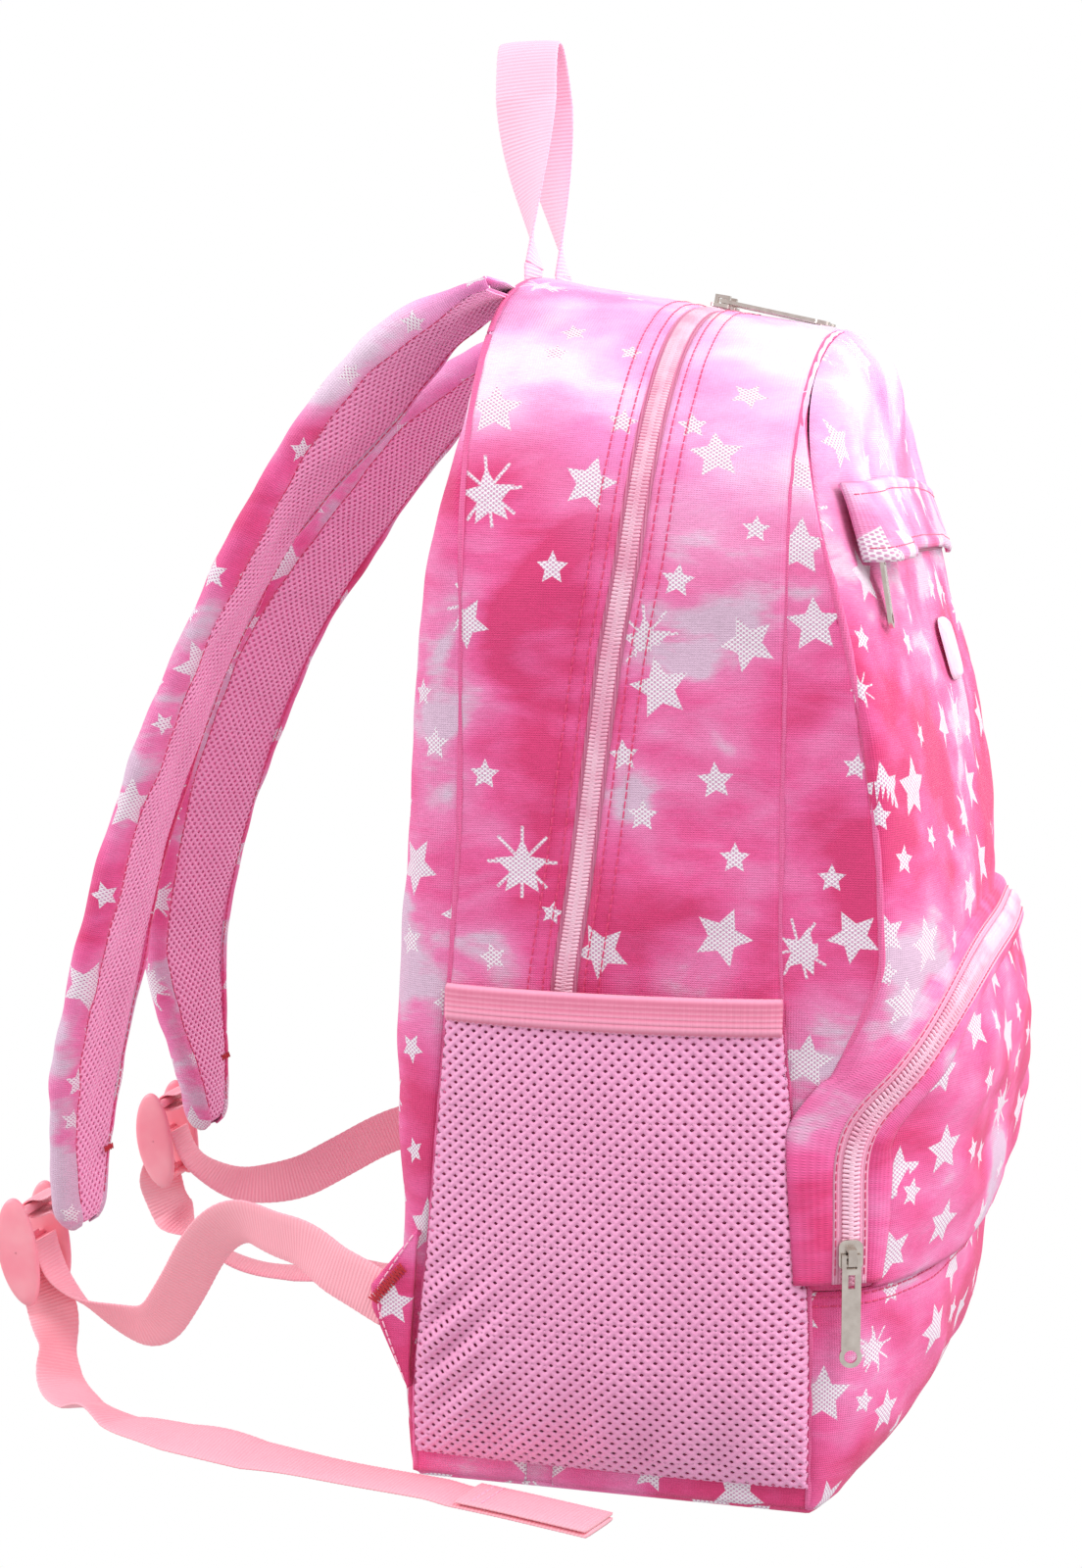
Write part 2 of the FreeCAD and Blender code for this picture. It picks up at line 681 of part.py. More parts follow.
def make_webbing():
    for route, name in ((LOWER_WEB_LEFT, "lower_webbing_left"), (LOWER_WEB_RIGHT, "lower_webbing_right")):
        points = web_path(route, 41)
        save(web_solid(points, web_frames(points), WEB_WIDTH, WEB_THICK), name)
    for route, name in ((TAIL_LEFT, "left"), (TAIL_RIGHT, "right")):
        points = web_path(route, 61)
        frames = web_frames(points)
        fold = 51
        tail = web_solid(points[:fold], frames[:fold], WEB_WIDTH, WEB_THICK)
        save(tail, "webbing_tail_" + name)
        end = web_solid(points[fold - 1:], frames[fold - 1:], WEB_WIDTH, 2 * WEB_THICK)
        save(end, "folded_end_" + name)


# ---- ladder locks, their loops and the anchor tabs ----
def profile_prism(points, low_x, high_x):
    """Prism along X of an outline given as (y, z) points."""
    face = Part.Face(Part.makePolygon([Vec(low_x, y, z) for y, z in points + points[:1]]))
    return face.extrude(Vec(high_x - low_x, 0, 0))


def make_lock(x, y, z, name):
    """Ladder lock that hangs from its top bar at (x, y, z)."""
    rail = [(y - 2, z + 2), (y + 2, z + 2), (y + 7, z - 10), (y + 8, z - 20), (y + 5, z - 32), (y, z - 40),
            (y - 3, z - 38), (y, z - 30), (y + 2, z - 20), (y + 1, z - 10)]
    lock = profile_prism(rail, x - 16, x - 13)
    lock = lock.fuse(profile_prism(rail, x + 13, x + 16))
    bars = [Part.makeCylinder(2.0, 28.0, Vec(x - 14, y, z), X_AXIS),
            box((x - 14, y + 1.5, z - 19.5), (x + 14, y + 6.5, z - 16.5)),
            profile_prism([(y - 1, z - 39), (y + 2, z - 38), (y + 5.5, z - 31), (y + 2, z - 33)], x - 14, x + 14)]
    save(lock.fuse(bars).removeSplitter(), "ladder_lock_" + name)
    loop = Part.makeCylinder(3.8, WEB_WIDTH, Vec(x - WEB_WIDTH / 2, y, z), X_AXIS)
    loop = loop.fuse(box((x - WEB_WIDTH / 2, y - LOOP_REACH, z + 0.6), (x + WEB_WIDTH / 2, y, z + 3.8)))
    loop = loop.cut(Part.makeCylinder(2.3, WEB_WIDTH + 2, Vec(x - WEB_WIDTH / 2 - 1, y, z), X_AXIS))
    save(loop, "lock_loop_" + name)


def make_tabs():
    """Triangles at the lower back corners that hold the lower webbing, with their bartacks."""
    for side, name in ((-1, "left"), (1, "right")):
        outline = [(79.5, 36), (78, 60), (75.5, 96), (93.5, 74), (93.5, 66)]
        inner = side * (HALF_WIDTH + 0.1)
        save(profile_prism(outline, inner, inner + side * TAB_THICK), "anchor_tab_" + name)
        tack = [(92.5, 66.5), (92.5, 70.5), (82, 83), (80, 81)]
        face = inner + side * (TAB_THICK + 0.1)
        save(profile_prism(tack, face, face + side * 0.8), "bartack_" + name)


def make_sleeve():
    def sleeve_y(x, z):
        return back_y(x, z) - SLEEVE_GAP

    rows = even_rows(sleeve_y, 118.0, lambda x: 8.0, lambda x: 262.0, 5, 9)
    save(skin(rows, 0.0, LINING, X_AXIS), "document_sleeve")
    rows = even_rows(sleeve_y, 118.0, lambda x: 262.2, lambda x: 272.0, 2, 9)
    save(skin(rows, -0.6, LINING + 0.6, X_AXIS), "sleeve_binding")


make_gussets()
make_base()
make_panels()
make_second_gussets()
make_side_pockets()
make_lower_pocket()
make_upper_pocket()
make_sliders()
make_straps()
make_handle()
make_webbing()
make_lock(*LOCK_LEFT, "left")
make_lock(*LOCK_RIGHT, "right")
make_tabs()
make_sleeve()
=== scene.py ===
"""The looks of a school backpack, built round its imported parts.

Shapes are worked out in millimetres, in the parts' own frame, and turned into metres when a mesh is made.
"""
import math

import bpy
import numpy as np
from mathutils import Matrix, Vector


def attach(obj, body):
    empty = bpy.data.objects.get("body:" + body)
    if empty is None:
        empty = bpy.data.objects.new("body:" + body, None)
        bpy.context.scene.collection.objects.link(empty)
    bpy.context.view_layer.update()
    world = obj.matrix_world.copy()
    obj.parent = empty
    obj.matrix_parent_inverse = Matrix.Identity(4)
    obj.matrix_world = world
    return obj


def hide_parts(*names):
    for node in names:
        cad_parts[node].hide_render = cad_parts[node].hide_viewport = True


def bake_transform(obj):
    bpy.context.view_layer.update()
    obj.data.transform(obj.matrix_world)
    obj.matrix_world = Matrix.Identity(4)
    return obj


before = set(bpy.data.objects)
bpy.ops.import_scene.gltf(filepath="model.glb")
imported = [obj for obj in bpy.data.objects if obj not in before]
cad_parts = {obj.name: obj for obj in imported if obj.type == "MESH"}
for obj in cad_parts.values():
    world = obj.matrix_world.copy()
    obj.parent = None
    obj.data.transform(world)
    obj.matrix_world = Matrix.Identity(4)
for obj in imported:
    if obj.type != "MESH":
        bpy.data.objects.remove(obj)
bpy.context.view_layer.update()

MM = 0.001
SEED = 11

# ---- driving sizes, the same as the parts' own ----
HALF_WIDTH = 145.0
SPRING_HEIGHT = 320.0
TOP_HEIGHT = 439.0
TOP_SLOPE = 0.19
ARCH_POWER = 2.35
SIDE_SHARE = 0.62
ZIP_HALF = 5.5
ZIP_END = 30.0
COIL_HALF = 2.8
POCKET_TOP = 187.0
ELASTIC_HEIGHT = 11.0
POCKET_FLOOR = 12.0
POCKET_BULGE = 15.0
POCKET_GAP = 0.5
WEB_WIDTH = 20.0
WEB_THICK = 1.6
LEVEL_BELOW = 30.0
HANDLE_WIDTH = 25.0
STRAP_WIDTH = 58.0
STRAP_THICK = 11.0
STRAP_X = 75.0
LOWER_SEAM = 84.0
LOWER_TOP = 197.0
LOWER_HALF = 142.0
LOWER_SPRING = 130.0
LOWER_PROUD = 10.0
FRONT_CROWN = 0.92
SIDE_FALL = 0.2
BACK_CROWN = 1.17
ARCH_PROUD = 3.2
LOWER_EDGE = 7.2
ARCH_TAPE = 6.4           # visible half width of the arch zip
FLAP_TOP = 371.0
FLAP_HEIGHT = 27.0
FLAP_HALF = 127.0
UPPER_ZIP = 350.0
UPPER_HALF = 122.0
CLOTH = 1.2               # thickness of the visible canvas
BASE_EDGE = 3.6           # height at which the side, front and back panels begin
FRONT_SEAM_Y = -58.0
BACK_SEAM_Y = 62.0
WAIST = 240.0             # height at which the panels' columns are spaced along the cloth
PUCKER_PITCH = 13.0       # spacing of the puckers along a seam
SEAM_ROWS = (2.6, 8.0)    # distances of the stitch rows from the gussets' zip edges
TURNED_IN = 1.8           # how far a strap's cover comes round onto its inner side
TACK_RISE = 30.0          # distance of a strap's bartack from its lower end
LOCK_LEFT = (-75, 262, 74)
LOCK_RIGHT = (75, 267, 84)
BAG_CENTRE = np.array([0.0, 0.0, 200.0])
SIDES = (("left", -1), ("right", 1))
WEB_SECTION = [-1.0, -0.985, -0.93, -0.6, -0.2, 0.2, 0.6, 0.93, 0.985, 1.0]

# ---- routes: (depth y, height z) of the straps, and points in space of the webbings ----
STRAP_PATH_LEFT = [
    (61, 441), (72, 437), (95, 424), (119, 399), (142, 373), (161, 346), (186, 300), (202, 262), (215, 228),
    (225, 191), (236, 147), (242, 108), (244, 66)]
STRAP_PATH_RIGHT = [
    (60, 443), (72, 438), (104, 424), (138, 400), (160, 376), (186, 343), (210, 308), (230, 266), (245, 224),
    (255, 186), (259, 155), (256, 126), (252, 103), (249, 72)]
HANDLE_ROUTE = [(-24, 64.5, 454.4), (-23, 66, 472), (-19, 69, 500), (-12, 71, 530), (-5, 72, 545),
                (5, 72, 545), (12, 71, 530), (19, 69, 500), (23, 66, 472), (24, 64.5, 454.4)]
LOWER_WEB_LEFT = [
    (-75, 260, 60), (-75, 258, 48), (-76, 246, 35), (-79, 226, 27), (-85, 207, 29), (-93, 193, 46),
    (-101, 179, 70), (-110, 163, 82), (-120, 145, 84), (-132, 124, 82), (-142, 105, 75), (-146.3, 87, 68)]
LOWER_WEB_RIGHT = [
    (75, 264, 70), (75, 261, 58), (76, 248, 49), (79, 229, 45), (86, 210, 46), (96, 193, 55),
    (106, 175, 66), (116, 157, 70), (127, 137, 71), (138, 116, 71), (144, 102, 71), (146.3, 87, 70)]
TAIL_LEFT = [(-75, 268, 60), (-75, 262, 44), (-77, 255, 27), (-81, 252, 14), (-91, 247, 4), (-107, 232, 2.4),
             (-121, 209, 2.0), (-131, 184, 3.2), (-139, 158, 2.0), (-146, 130, 3.4), (-151, 100, 2.4),
             (-157, 66, 2.8), (-164, 38, 3.0), (-170, 17, 3.0), (-175, 0, 3.0)]
TAIL_RIGHT = [(75, 275.5, 68), (75, 276, 46), (76, 266, 25), (78, 248, 11), (81, 230, 3), (84, 208, 1.5),
              (88, 186, 1.5), (93, 165, 3), (101, 146, 1.5), (113, 130, 1.6), (129, 120, 2.4),
              (147, 115, 2.6), (165, 113, 2.6), (181, 112, 2.6)]
# share of the tail's length, reach as a share, and degrees of each twist
TAIL_TWISTS = {"left": ((0.15, 0.035, 38.0), (0.31, 0.04, 22.0), (0.50, 0.09, -16.0)),
               "right": ((0.2, 0.05, 30.0), (0.5, 0.08, -16.0))}


# ---- camera ----
def make_camera():
    """At the height of the zip's middle, beyond the left side, turned 15 degrees towards the back."""
    heading = math.radians(15.0)
    dip = math.radians(6.016)
    data = bpy.data.cameras.new("camera")
    data.lens = 58.5
    data.sensor_width = 36.0
    camera = bpy.data.objects.new("camera", data)
    bpy.context.scene.collection.objects.link(camera)
    camera.location = (-1.0143, -0.2039, 0.356)
    look = Vector((math.cos(heading) * math.cos(dip), math.sin(heading) * math.cos(dip), -math.sin(dip)))
    camera.rotation_euler = look.to_track_quat("-Z", "Y").to_euler()
    bpy.context.scene.camera = camera


# ---- curves of the bag ----
def smooth(table):
    """Smooth curve through (key, value) pairs, with rising keys. It takes numbers or arrays."""
    keys = np.array([pair[0] for pair in table], float)
    values = np.array([pair[1] for pair in table], float)
    low = np.maximum(np.arange(len(keys)) - 1, 0)
    high = np.minimum(np.arange(len(keys)) + 1, len(keys) - 1)
    slopes = (values[high] - values[low]) / (keys[high] - keys[low])

    def value(key):
        key = np.clip(key, keys[0], keys[-1])
        i = np.clip(np.searchsorted(keys, key, side="right") - 1, 0, len(keys) - 2)
        span = keys[i + 1] - keys[i]
        t = (key - keys[i]) / span
        start = (1 + 2 * t) * (1 - t) ** 2 * values[i] + t * (1 - t) ** 2 * span * slopes[i]
        end = t * t * (3 - 2 * t) * values[i + 1] + t * t * (t - 1) * span * slopes[i + 1]
        return start + end

    return value


back_seam = smooth([(0, 77), (40, 77), (98, 71), (171, 65), (240, 60), (300, 59), (400, 60), (451, 63)])
front_seam = smooth([(0, -69), (60, -69), (100, -67), (190, -58), (300, -58), (427, -58)])
zip_line = smooth([(0, 30), (100, 27), (187, 21), (227, 15), (303, 5), (344, -2), (400, -7), (440, -8)])
back_crown = smooth([(0, 3), (34, 6), (100, 14), (133, 18), (188, 22), (260, 22), (330, 16), (400, 5),
                     (451, 0)])
middle_depth = smooth([(0, 12), (25, 38), (52, 49), (84, 53), (121, 58), (160, 62), (200, 61), (241, 56),
                       (290, 46), (328, 35), (377, 21), (427, 16)])
pocket_rise = smooth([(84, 0.5), (109, 1.0), (130, 1.2), (158, 1.4), (180, 0.9), (197, 0.6)])
edge_depth = smooth([(0, 0), (140, 0), (164, 17), (196, 33), (213, 34), (245, 32), (284, 26), (322, 18),
                     (370, 6), (399, 0), (427, 0)])


def mix(a, b, t):
    return a + (b - a) * t


def ease(value, low, high):
    """0 below low, 1 above high, and smooth between them."""
    t = np.clip((value - low) / (high - low), 0.0, 1.0)
    return t * t * (3 - 2 * t)


def top_height(y):
    return TOP_HEIGHT + TOP_SLOPE * y


def arch_point(s, y):
    """Outline point (x, z): s is -1 at the left base, 0 at the top, 1 at the right base."""
    side = np.where(s >= 0, 1.0, -1.0)
    climb = 1.0 - np.abs(s)
    angle = np.clip((climb - SIDE_SHARE) / (1.0 - SIDE_SHARE), 0.0, 1.0) * np.pi / 2
    power = 2.0 / ARCH_POWER
    x = side * HALF_WIDTH * np.maximum(np.cos(angle), 0.0) ** power
    rise = (top_height(y) - SPRING_HEIGHT) * np.sin(angle) ** power
    z = np.where(climb <= SIDE_SHARE, SPRING_HEIGHT * climb / SIDE_SHARE, SPRING_HEIGHT + rise)
    return x, z


def arch_height(x, y):
    u = np.minimum(np.abs(x) / HALF_WIDTH, 1.0)
    return SPRING_HEIGHT + (top_height(y) - SPRING_HEIGHT) * (1 - u ** ARCH_POWER) ** (1 / ARCH_POWER)


def front_y(x, z):
    """Depth of the front panel's outer surface."""
    u = np.minimum(np.abs(x) / HALF_WIDTH, 1.0)
    rim = np.clip((arch_height(x, -58.0) - z) / 25.0, 0.0, 1.0)
    crown = FRONT_CROWN * (1 - SIDE_FALL * u ** 1.5) * np.sqrt(1 - u ** 4) * np.sqrt(1 - (1 - rim) ** 2)
    edge = edge_depth(z)
    return front_seam(z) - edge - (middle_depth(z) - edge) * crown


def back_y(x, z):
    """Depth of the back panel's outer surface."""
    u = np.minimum(np.abs(x) / HALF_WIDTH, 1.0)
    rim = np.clip((arch_height(x, 62.0) - z) / 60.0, 0.0, 1.0)
    return back_seam(z) + back_crown(z) * BACK_CROWN * np.sqrt(1 - u ** 20) * np.sqrt(1 - (1 - rim) ** 2)


def lower_top(x):
    """Height of the lower pocket's arch zip at x."""
    u = np.minimum(np.abs(x) / LOWER_HALF, 1.0)
    return LOWER_SPRING + (LOWER_TOP - LOWER_SPRING) * (1 - u ** 4) ** (1 / 2.2)


def lower_y(x, z):
    """Outer surface of the lower pocket."""
    u = np.minimum(np.abs(x) / HALF_WIDTH, 1.0)
    proud = LOWER_PROUD * pocket_rise(z)
    return front_y(x, z) - proud * (0.4 + 0.6 * np.sqrt(1 - u ** 4))


def pocket_gap(y, z):
    """Distance of the side pocket's mesh from the side of the bag."""
    v = np.clip((y - front_seam(z)) / (back_seam(z) - front_seam(z)), 0.0, 1.0)
    rise = np.clip((z - POCKET_FLOOR) / 45.0, 0.0, 1.0)
    fall = 1.0 - 0.45 * np.maximum(0.0, (z - 90.0) / (POCKET_TOP - 90.0)) ** 1.5
    bulge = POCKET_BULGE * np.sin(np.pi * v) ** 0.6 * np.sin(np.pi / 2 * rise) ** 0.7 * fall
    return POCKET_GAP + bulge


# ---- small tools for shapes ----
def unit(vectors):
    return vectors / np.maximum(np.linalg.norm(vectors, axis=-1, keepdims=True), 1e-9)


def lengths_along(points):
    """Distance of each point from the first along its line."""
    steps = np.linalg.norm(np.diff(points, axis=0), axis=1)
    return np.concatenate([[0.0], np.cumsum(steps)])


def joined(*coordinates):
    """Points from their coordinates, each spread over the same grid."""
    return np.stack(np.broadcast_arrays(*coordinates), axis=-1)


def line_at(spots, along, points):
    """Points of a line at some distances along it."""
    return np.stack([np.interp(spots, along, points[:, k]) for k in range(3)], axis=-1)


def resample(points, pitch):
    """Evenly spaced points along a line, about pitch apart."""
    along = lengths_along(points)
    count = max(2, int(round(along[-1] / pitch)) + 1)
    return line_at(np.linspace(0.0, along[-1], count), along, points)


def tangents(points):
    return unit(np.gradient(points, axis=0))


def squared(across, along):
    """Directions turned the least to stand square to the line."""
    return unit(across - along * np.sum(across * along, axis=1)[:, None])


def ripples(points, wavelength, seed, waves=7):
    """Smooth random swell between about -1 and 1 at points in space."""
    random = np.random.default_rng(seed)
    total = np.zeros(points.shape[:-1])
    for _ in range(waves):
        direction = random.normal(size=3)
        direction /= np.linalg.norm(direction)
        length = wavelength * random.uniform(0.7, 1.6)
        total += np.sin(points @ direction * 2 * np.pi / length + random.uniform(0, 2 * np.pi))
    return total / math.sqrt(waves)


def grid_normals(grid):
    """Unit normals of a grid of points, rows by columns."""
    down = np.gradient(grid, axis=0)
    across = np.gradient(grid, axis=1)
    return unit(np.cross(down, across))


def grid_faces(rows, columns, wrap=False):
    """Quads of a grid, with its last column joined to its first where wrap is true."""
    index = np.arange(rows * columns).reshape(rows, columns)
    if wrap:
        index = np.concatenate([index, index[:, :1]], axis=1)
    quads = [index[:-1, :-1], index[:-1, 1:], index[1:, 1:], index[1:, :-1]]
    return np.stack(quads, axis=-1).reshape(-1, 4)


def end_faces(rows, columns):
    """Faces that close the first and the last row of a wrapped grid."""
    return np.array([np.arange(columns)[::-1], np.arange(columns) + (rows - 1) * columns])


def ring_round(axis, helper, turn):
    """Unit directions round each axis at some turns, starting square to the helper."""
    side = unit(np.cross(axis, helper))
    other = np.cross(axis, side)
    return side[:, None, :] * np.cos(turn)[None, :, None] + other[:, None, :] * np.sin(turn)[None, :, None]


def new_piece(name, points, faces, material, cloth=None, stars=None):
    """Mesh object from points in millimetres and arrays of faces.

    cloth is each point's place on its flat cut."""
    groups = faces if isinstance(faces, list) else [faces]
    points = np.asarray(points, float).reshape(-1, 3)
    mesh = bpy.data.meshes.new(name)
    mesh.vertices.add(len(points))
    mesh.vertices.foreach_set("co", (points * MM).astype(np.float32).ravel())
    corners = np.concatenate([g.ravel() for g in groups])
    sizes = np.concatenate([np.full(len(g), g.shape[1]) for g in groups])
    mesh.loops.add(len(corners))
    mesh.loops.foreach_set("vertex_index", corners.astype(np.int32))
    mesh.polygons.add(len(sizes))
    starts = np.concatenate([[0], np.cumsum(sizes)[:-1]])
    mesh.polygons.foreach_set("loop_start", starts.astype(np.int32))
    mesh.polygons.foreach_set("use_smooth", np.ones(len(sizes), bool))
    mesh.update(calc_edges=True)
    if cloth is not None:
        cloth = np.asarray(cloth, float).reshape(-1, 2)
        layer = mesh.uv_layers.new(name="cloth")
        layer.data.foreach_set("uv", (cloth[corners] * MM).astype(np.float32).ravel())
        if stars is not None:
            layer = mesh.uv_layers.new(name="print")
            places = star_corners(cloth, corners, sizes, stars)
            layer.data.foreach_set("uv", places.astype(np.float32).ravel())
    mesh.validate()
    mesh.materials.append(material)
    piece = bpy.data.objects.new(name, mesh)
    bpy.context.scene.collection.objects.link(piece)
    return piece


def sheet_piece(name, grid, thickness, material, cloth, stars=None, offset=0.0, turned=False):
    """Sheet over a grid of points with some thickness. turned is true where the quads face the other way."""
    faces = grid_faces(*grid.shape[:2])
    piece = new_piece(name, grid, faces[:, ::-1] if turned else faces, material, cloth, stars)
    return thicken(piece, thickness, offset)


def thicken(piece, thickness, offset=-1.0):
    """Gives a sheet its thickness, inwards from its face."""
    modifier = piece.modifiers.new("thickness", "SOLIDIFY")
    modifier.thickness = thickness * MM
    modifier.offset = offset
    return piece


# ---- the print: stars on the cloth ----
NO_STAR = 3.0
STAR_SCALE = 1.26
BURST_SHIFT = 20.0


def star_corners(cloth, corners, sizes, stars):
    """For each face corner, its place relative to the star that its face is nearest to, in star radii."""
    face_of = np.repeat(np.arange(len(sizes)), sizes)
    centres = np.zeros((len(sizes), 2))
    for k in range(2):
        centres[:, k] = np.bincount(face_of, cloth[corners, k]) / sizes
    places = np.full((len(corners), 2), NO_STAR)
    for u, v, size, turn, burst in stars:
        radius = size * (STAR_SCALE - 0.2 * burst)
        near = np.hypot(centres[:, 0] - u, centres[:, 1] - v) < radius * 1.12 + 1.5
        mine = near[face_of]
        offset = (cloth[corners[mine]] - (u, v)) / radius
        c = math.cos(math.radians(turn))
        s = math.sin(math.radians(turn))
        turned = np.stack([offset[:, 0] * c + offset[:, 1] * s, offset[:, 1] * c - offset[:, 0] * s], axis=1)
        turned[:, 0] += BURST_SHIFT * burst
        places[mine] = turned
    return places


def scatter(cloth, seed, fixed=(), bare=None, spacing=39.0):
    """Random stars over a panel, away from the fixed ones. bare is a box of the cloth that gets none."""
    random = np.random.default_rng(seed)
    low = cloth.reshape(-1, 2).min(axis=0) - 5.0
    high = cloth.reshape(-1, 2).max(axis=0) + 5.0
    placed = list(fixed)
    tries = int(np.prod(high - low) / spacing ** 2 * 12)
    for _ in range(tries):
        u, v = random.uniform(low, high)
        kind = random.uniform()
        radius = random.uniform(7.8, 9.6) if kind < 0.42 else random.uniform(3.8, 5.4)
        burst = 0
        if kind > 0.9:
            radius = random.uniform(10.5, 12.0)
            burst = 1
        turn = random.uniform(0, 72)
        if bare and bare[0] <= u <= bare[1] and bare[2] <= v <= bare[3]:
            continue
        if all(math.hypot(u - p[0], v - p[1]) > (radius + p[2]) * 0.8 + spacing * 0.28 for p in placed):
            placed.append((u, v, radius, turn, burst))
    return placed


# (depth y, height z along the side, radius, turn, burst) on the left side, between the seams
SIDE_STARS = [
    (51, 392, 8.7, 12, 0), (50, 362, 12.0, 80, 1), (13, 367, 8.4, 30, 0), (25, 337, 4.9, 18, 0),
    (57, 318, 7.6, 50, 0), (4, 392, 4.8, 20, 0), (34, 422, 4.2, 16, 0), (7, 428, 3.8, 20, 0),
    (-31, 382, 8.4, 8, 0), (-39, 412, 6.0, 40, 0), (-47, 354, 4.3, 20, 0), (-20, 334, 5.2, 24, 0),
    (-9, 314, 11.0, 84, 1), (-45, 312, 8.5, 66, 0), (-21, 394, 4.8, 10, 0), (30, 436, 4.6, 0, 0),
    (-14, 296, 9.2, 6, 0), (50, 264, 4.7, 20, 0), (36, 233, 12.4, 90, 1), (-1, 272, 4.8, 12, 0),
    (-8, 251, 4.9, 20, 0), (-34, 264, 5.6, 14, 0), (-41, 237, 4.6, 18, 0), (-37, 209, 9.0, 40, 0),
    (7, 202, 8.6, 62, 0), (25, 215, 3.6, 30, 0), (47, 198, 4.5, 4, 0), (30, 160, 8.0, 10, 0),
    (-30, 150, 8.5, 33, 0), (5, 120, 9.0, 50, 0), (-42, 96, 8.0, 12, 0), (48, 92, 8.5, 28, 0),
    (18, 60, 8.0, 44, 0), (-22, 44, 9.0, 5, 0), (44, 36, 5.0, 5, 0), (30, 8, 9.0, 20, 0),
    (-44, 7, 8.0, 50, 0), (-12, 12, 6.0, 30, 0)]
# (depth y, height z, ...) on the strip in front of the front seam
FORE_STARS = [(-59, 377, 8.0, 10, 0), (-62, 348, 9.4, 22, 0), (-68, 319, 8.4, 14, 0), (-64, 206, 10.5, 30, 1),
              (-75, 231, 4.3, 18, 0), (-83, 270, 4.0, 26, 0), (-88, 297, 7.0, 40, 1), (-83, 211, 8.0, 62, 0),
              (-67, 166, 8.4, 24, 0)]
# (x, height z, ...) on the front panel
FRONT_STARS = [
    (-138, 385, 4.0, 8, 0), (-114, 381, 7.6, 30, 0), (-97, 357, 4.2, 10, 0), (-122, 335, 8.6, 20, 0),
    (-137, 314, 4.2, 0, 0), (-141.5, 262, 8.4, 28, 0), (-144, 297, 6.5, 10, 1), (-144.2, 253, 4.6, 14, 0),
    (-122, 261, 9.4, 18, 0), (-134, 237, 4.6, 8, 0), (-144, 212, 7.0, 30, 0), (-144, 198, 4.4, 10, 0),
    (-135, 187, 7.6, 26, 0), (-124, 206, 8.8, 30, 0), (-141.8, 146, 9.0, 6, 0), (-145, 116, 9.4, 10, 1),
    (-144, 46, 9.2, 16, 0), (-142, 95, 4.5, 16, 0)]
# (x, height z, ...) on the lower pocket and the panel under it
POCKET_STARS = [
    (-130.5, 124, 8.8, 20, 0), (-122, 160, 7.4, 14, 0), (-112, 130, 8.0, 24, 0), (-126, 117, 4.6, 4, 0),
    (-106, 101, 7.6, 12, 0), (-131, 96, 7.8, 40, 0), (-98, 172, 7.4, 24, 0)]
UNDER_STARS = [(-124, 80, 4.4, 18, 0), (-130, 60, 8.6, 12, 1), (-134, 42, 4.0, 6, 0), (-122, 35, 6.8, 20, 0),
               (-144, 46, 9.2, 16, 0)]


# ---- materials ----
def shade(red, green, blue):
    """Linear colour of an sRGB one given from 0 to 255."""
    return tuple(((c / 255 + 0.055) / 1.055) ** 2.4 if c > 10 else c / 255 / 12.92
                 for c in (red, green, blue)) + (1.0,)


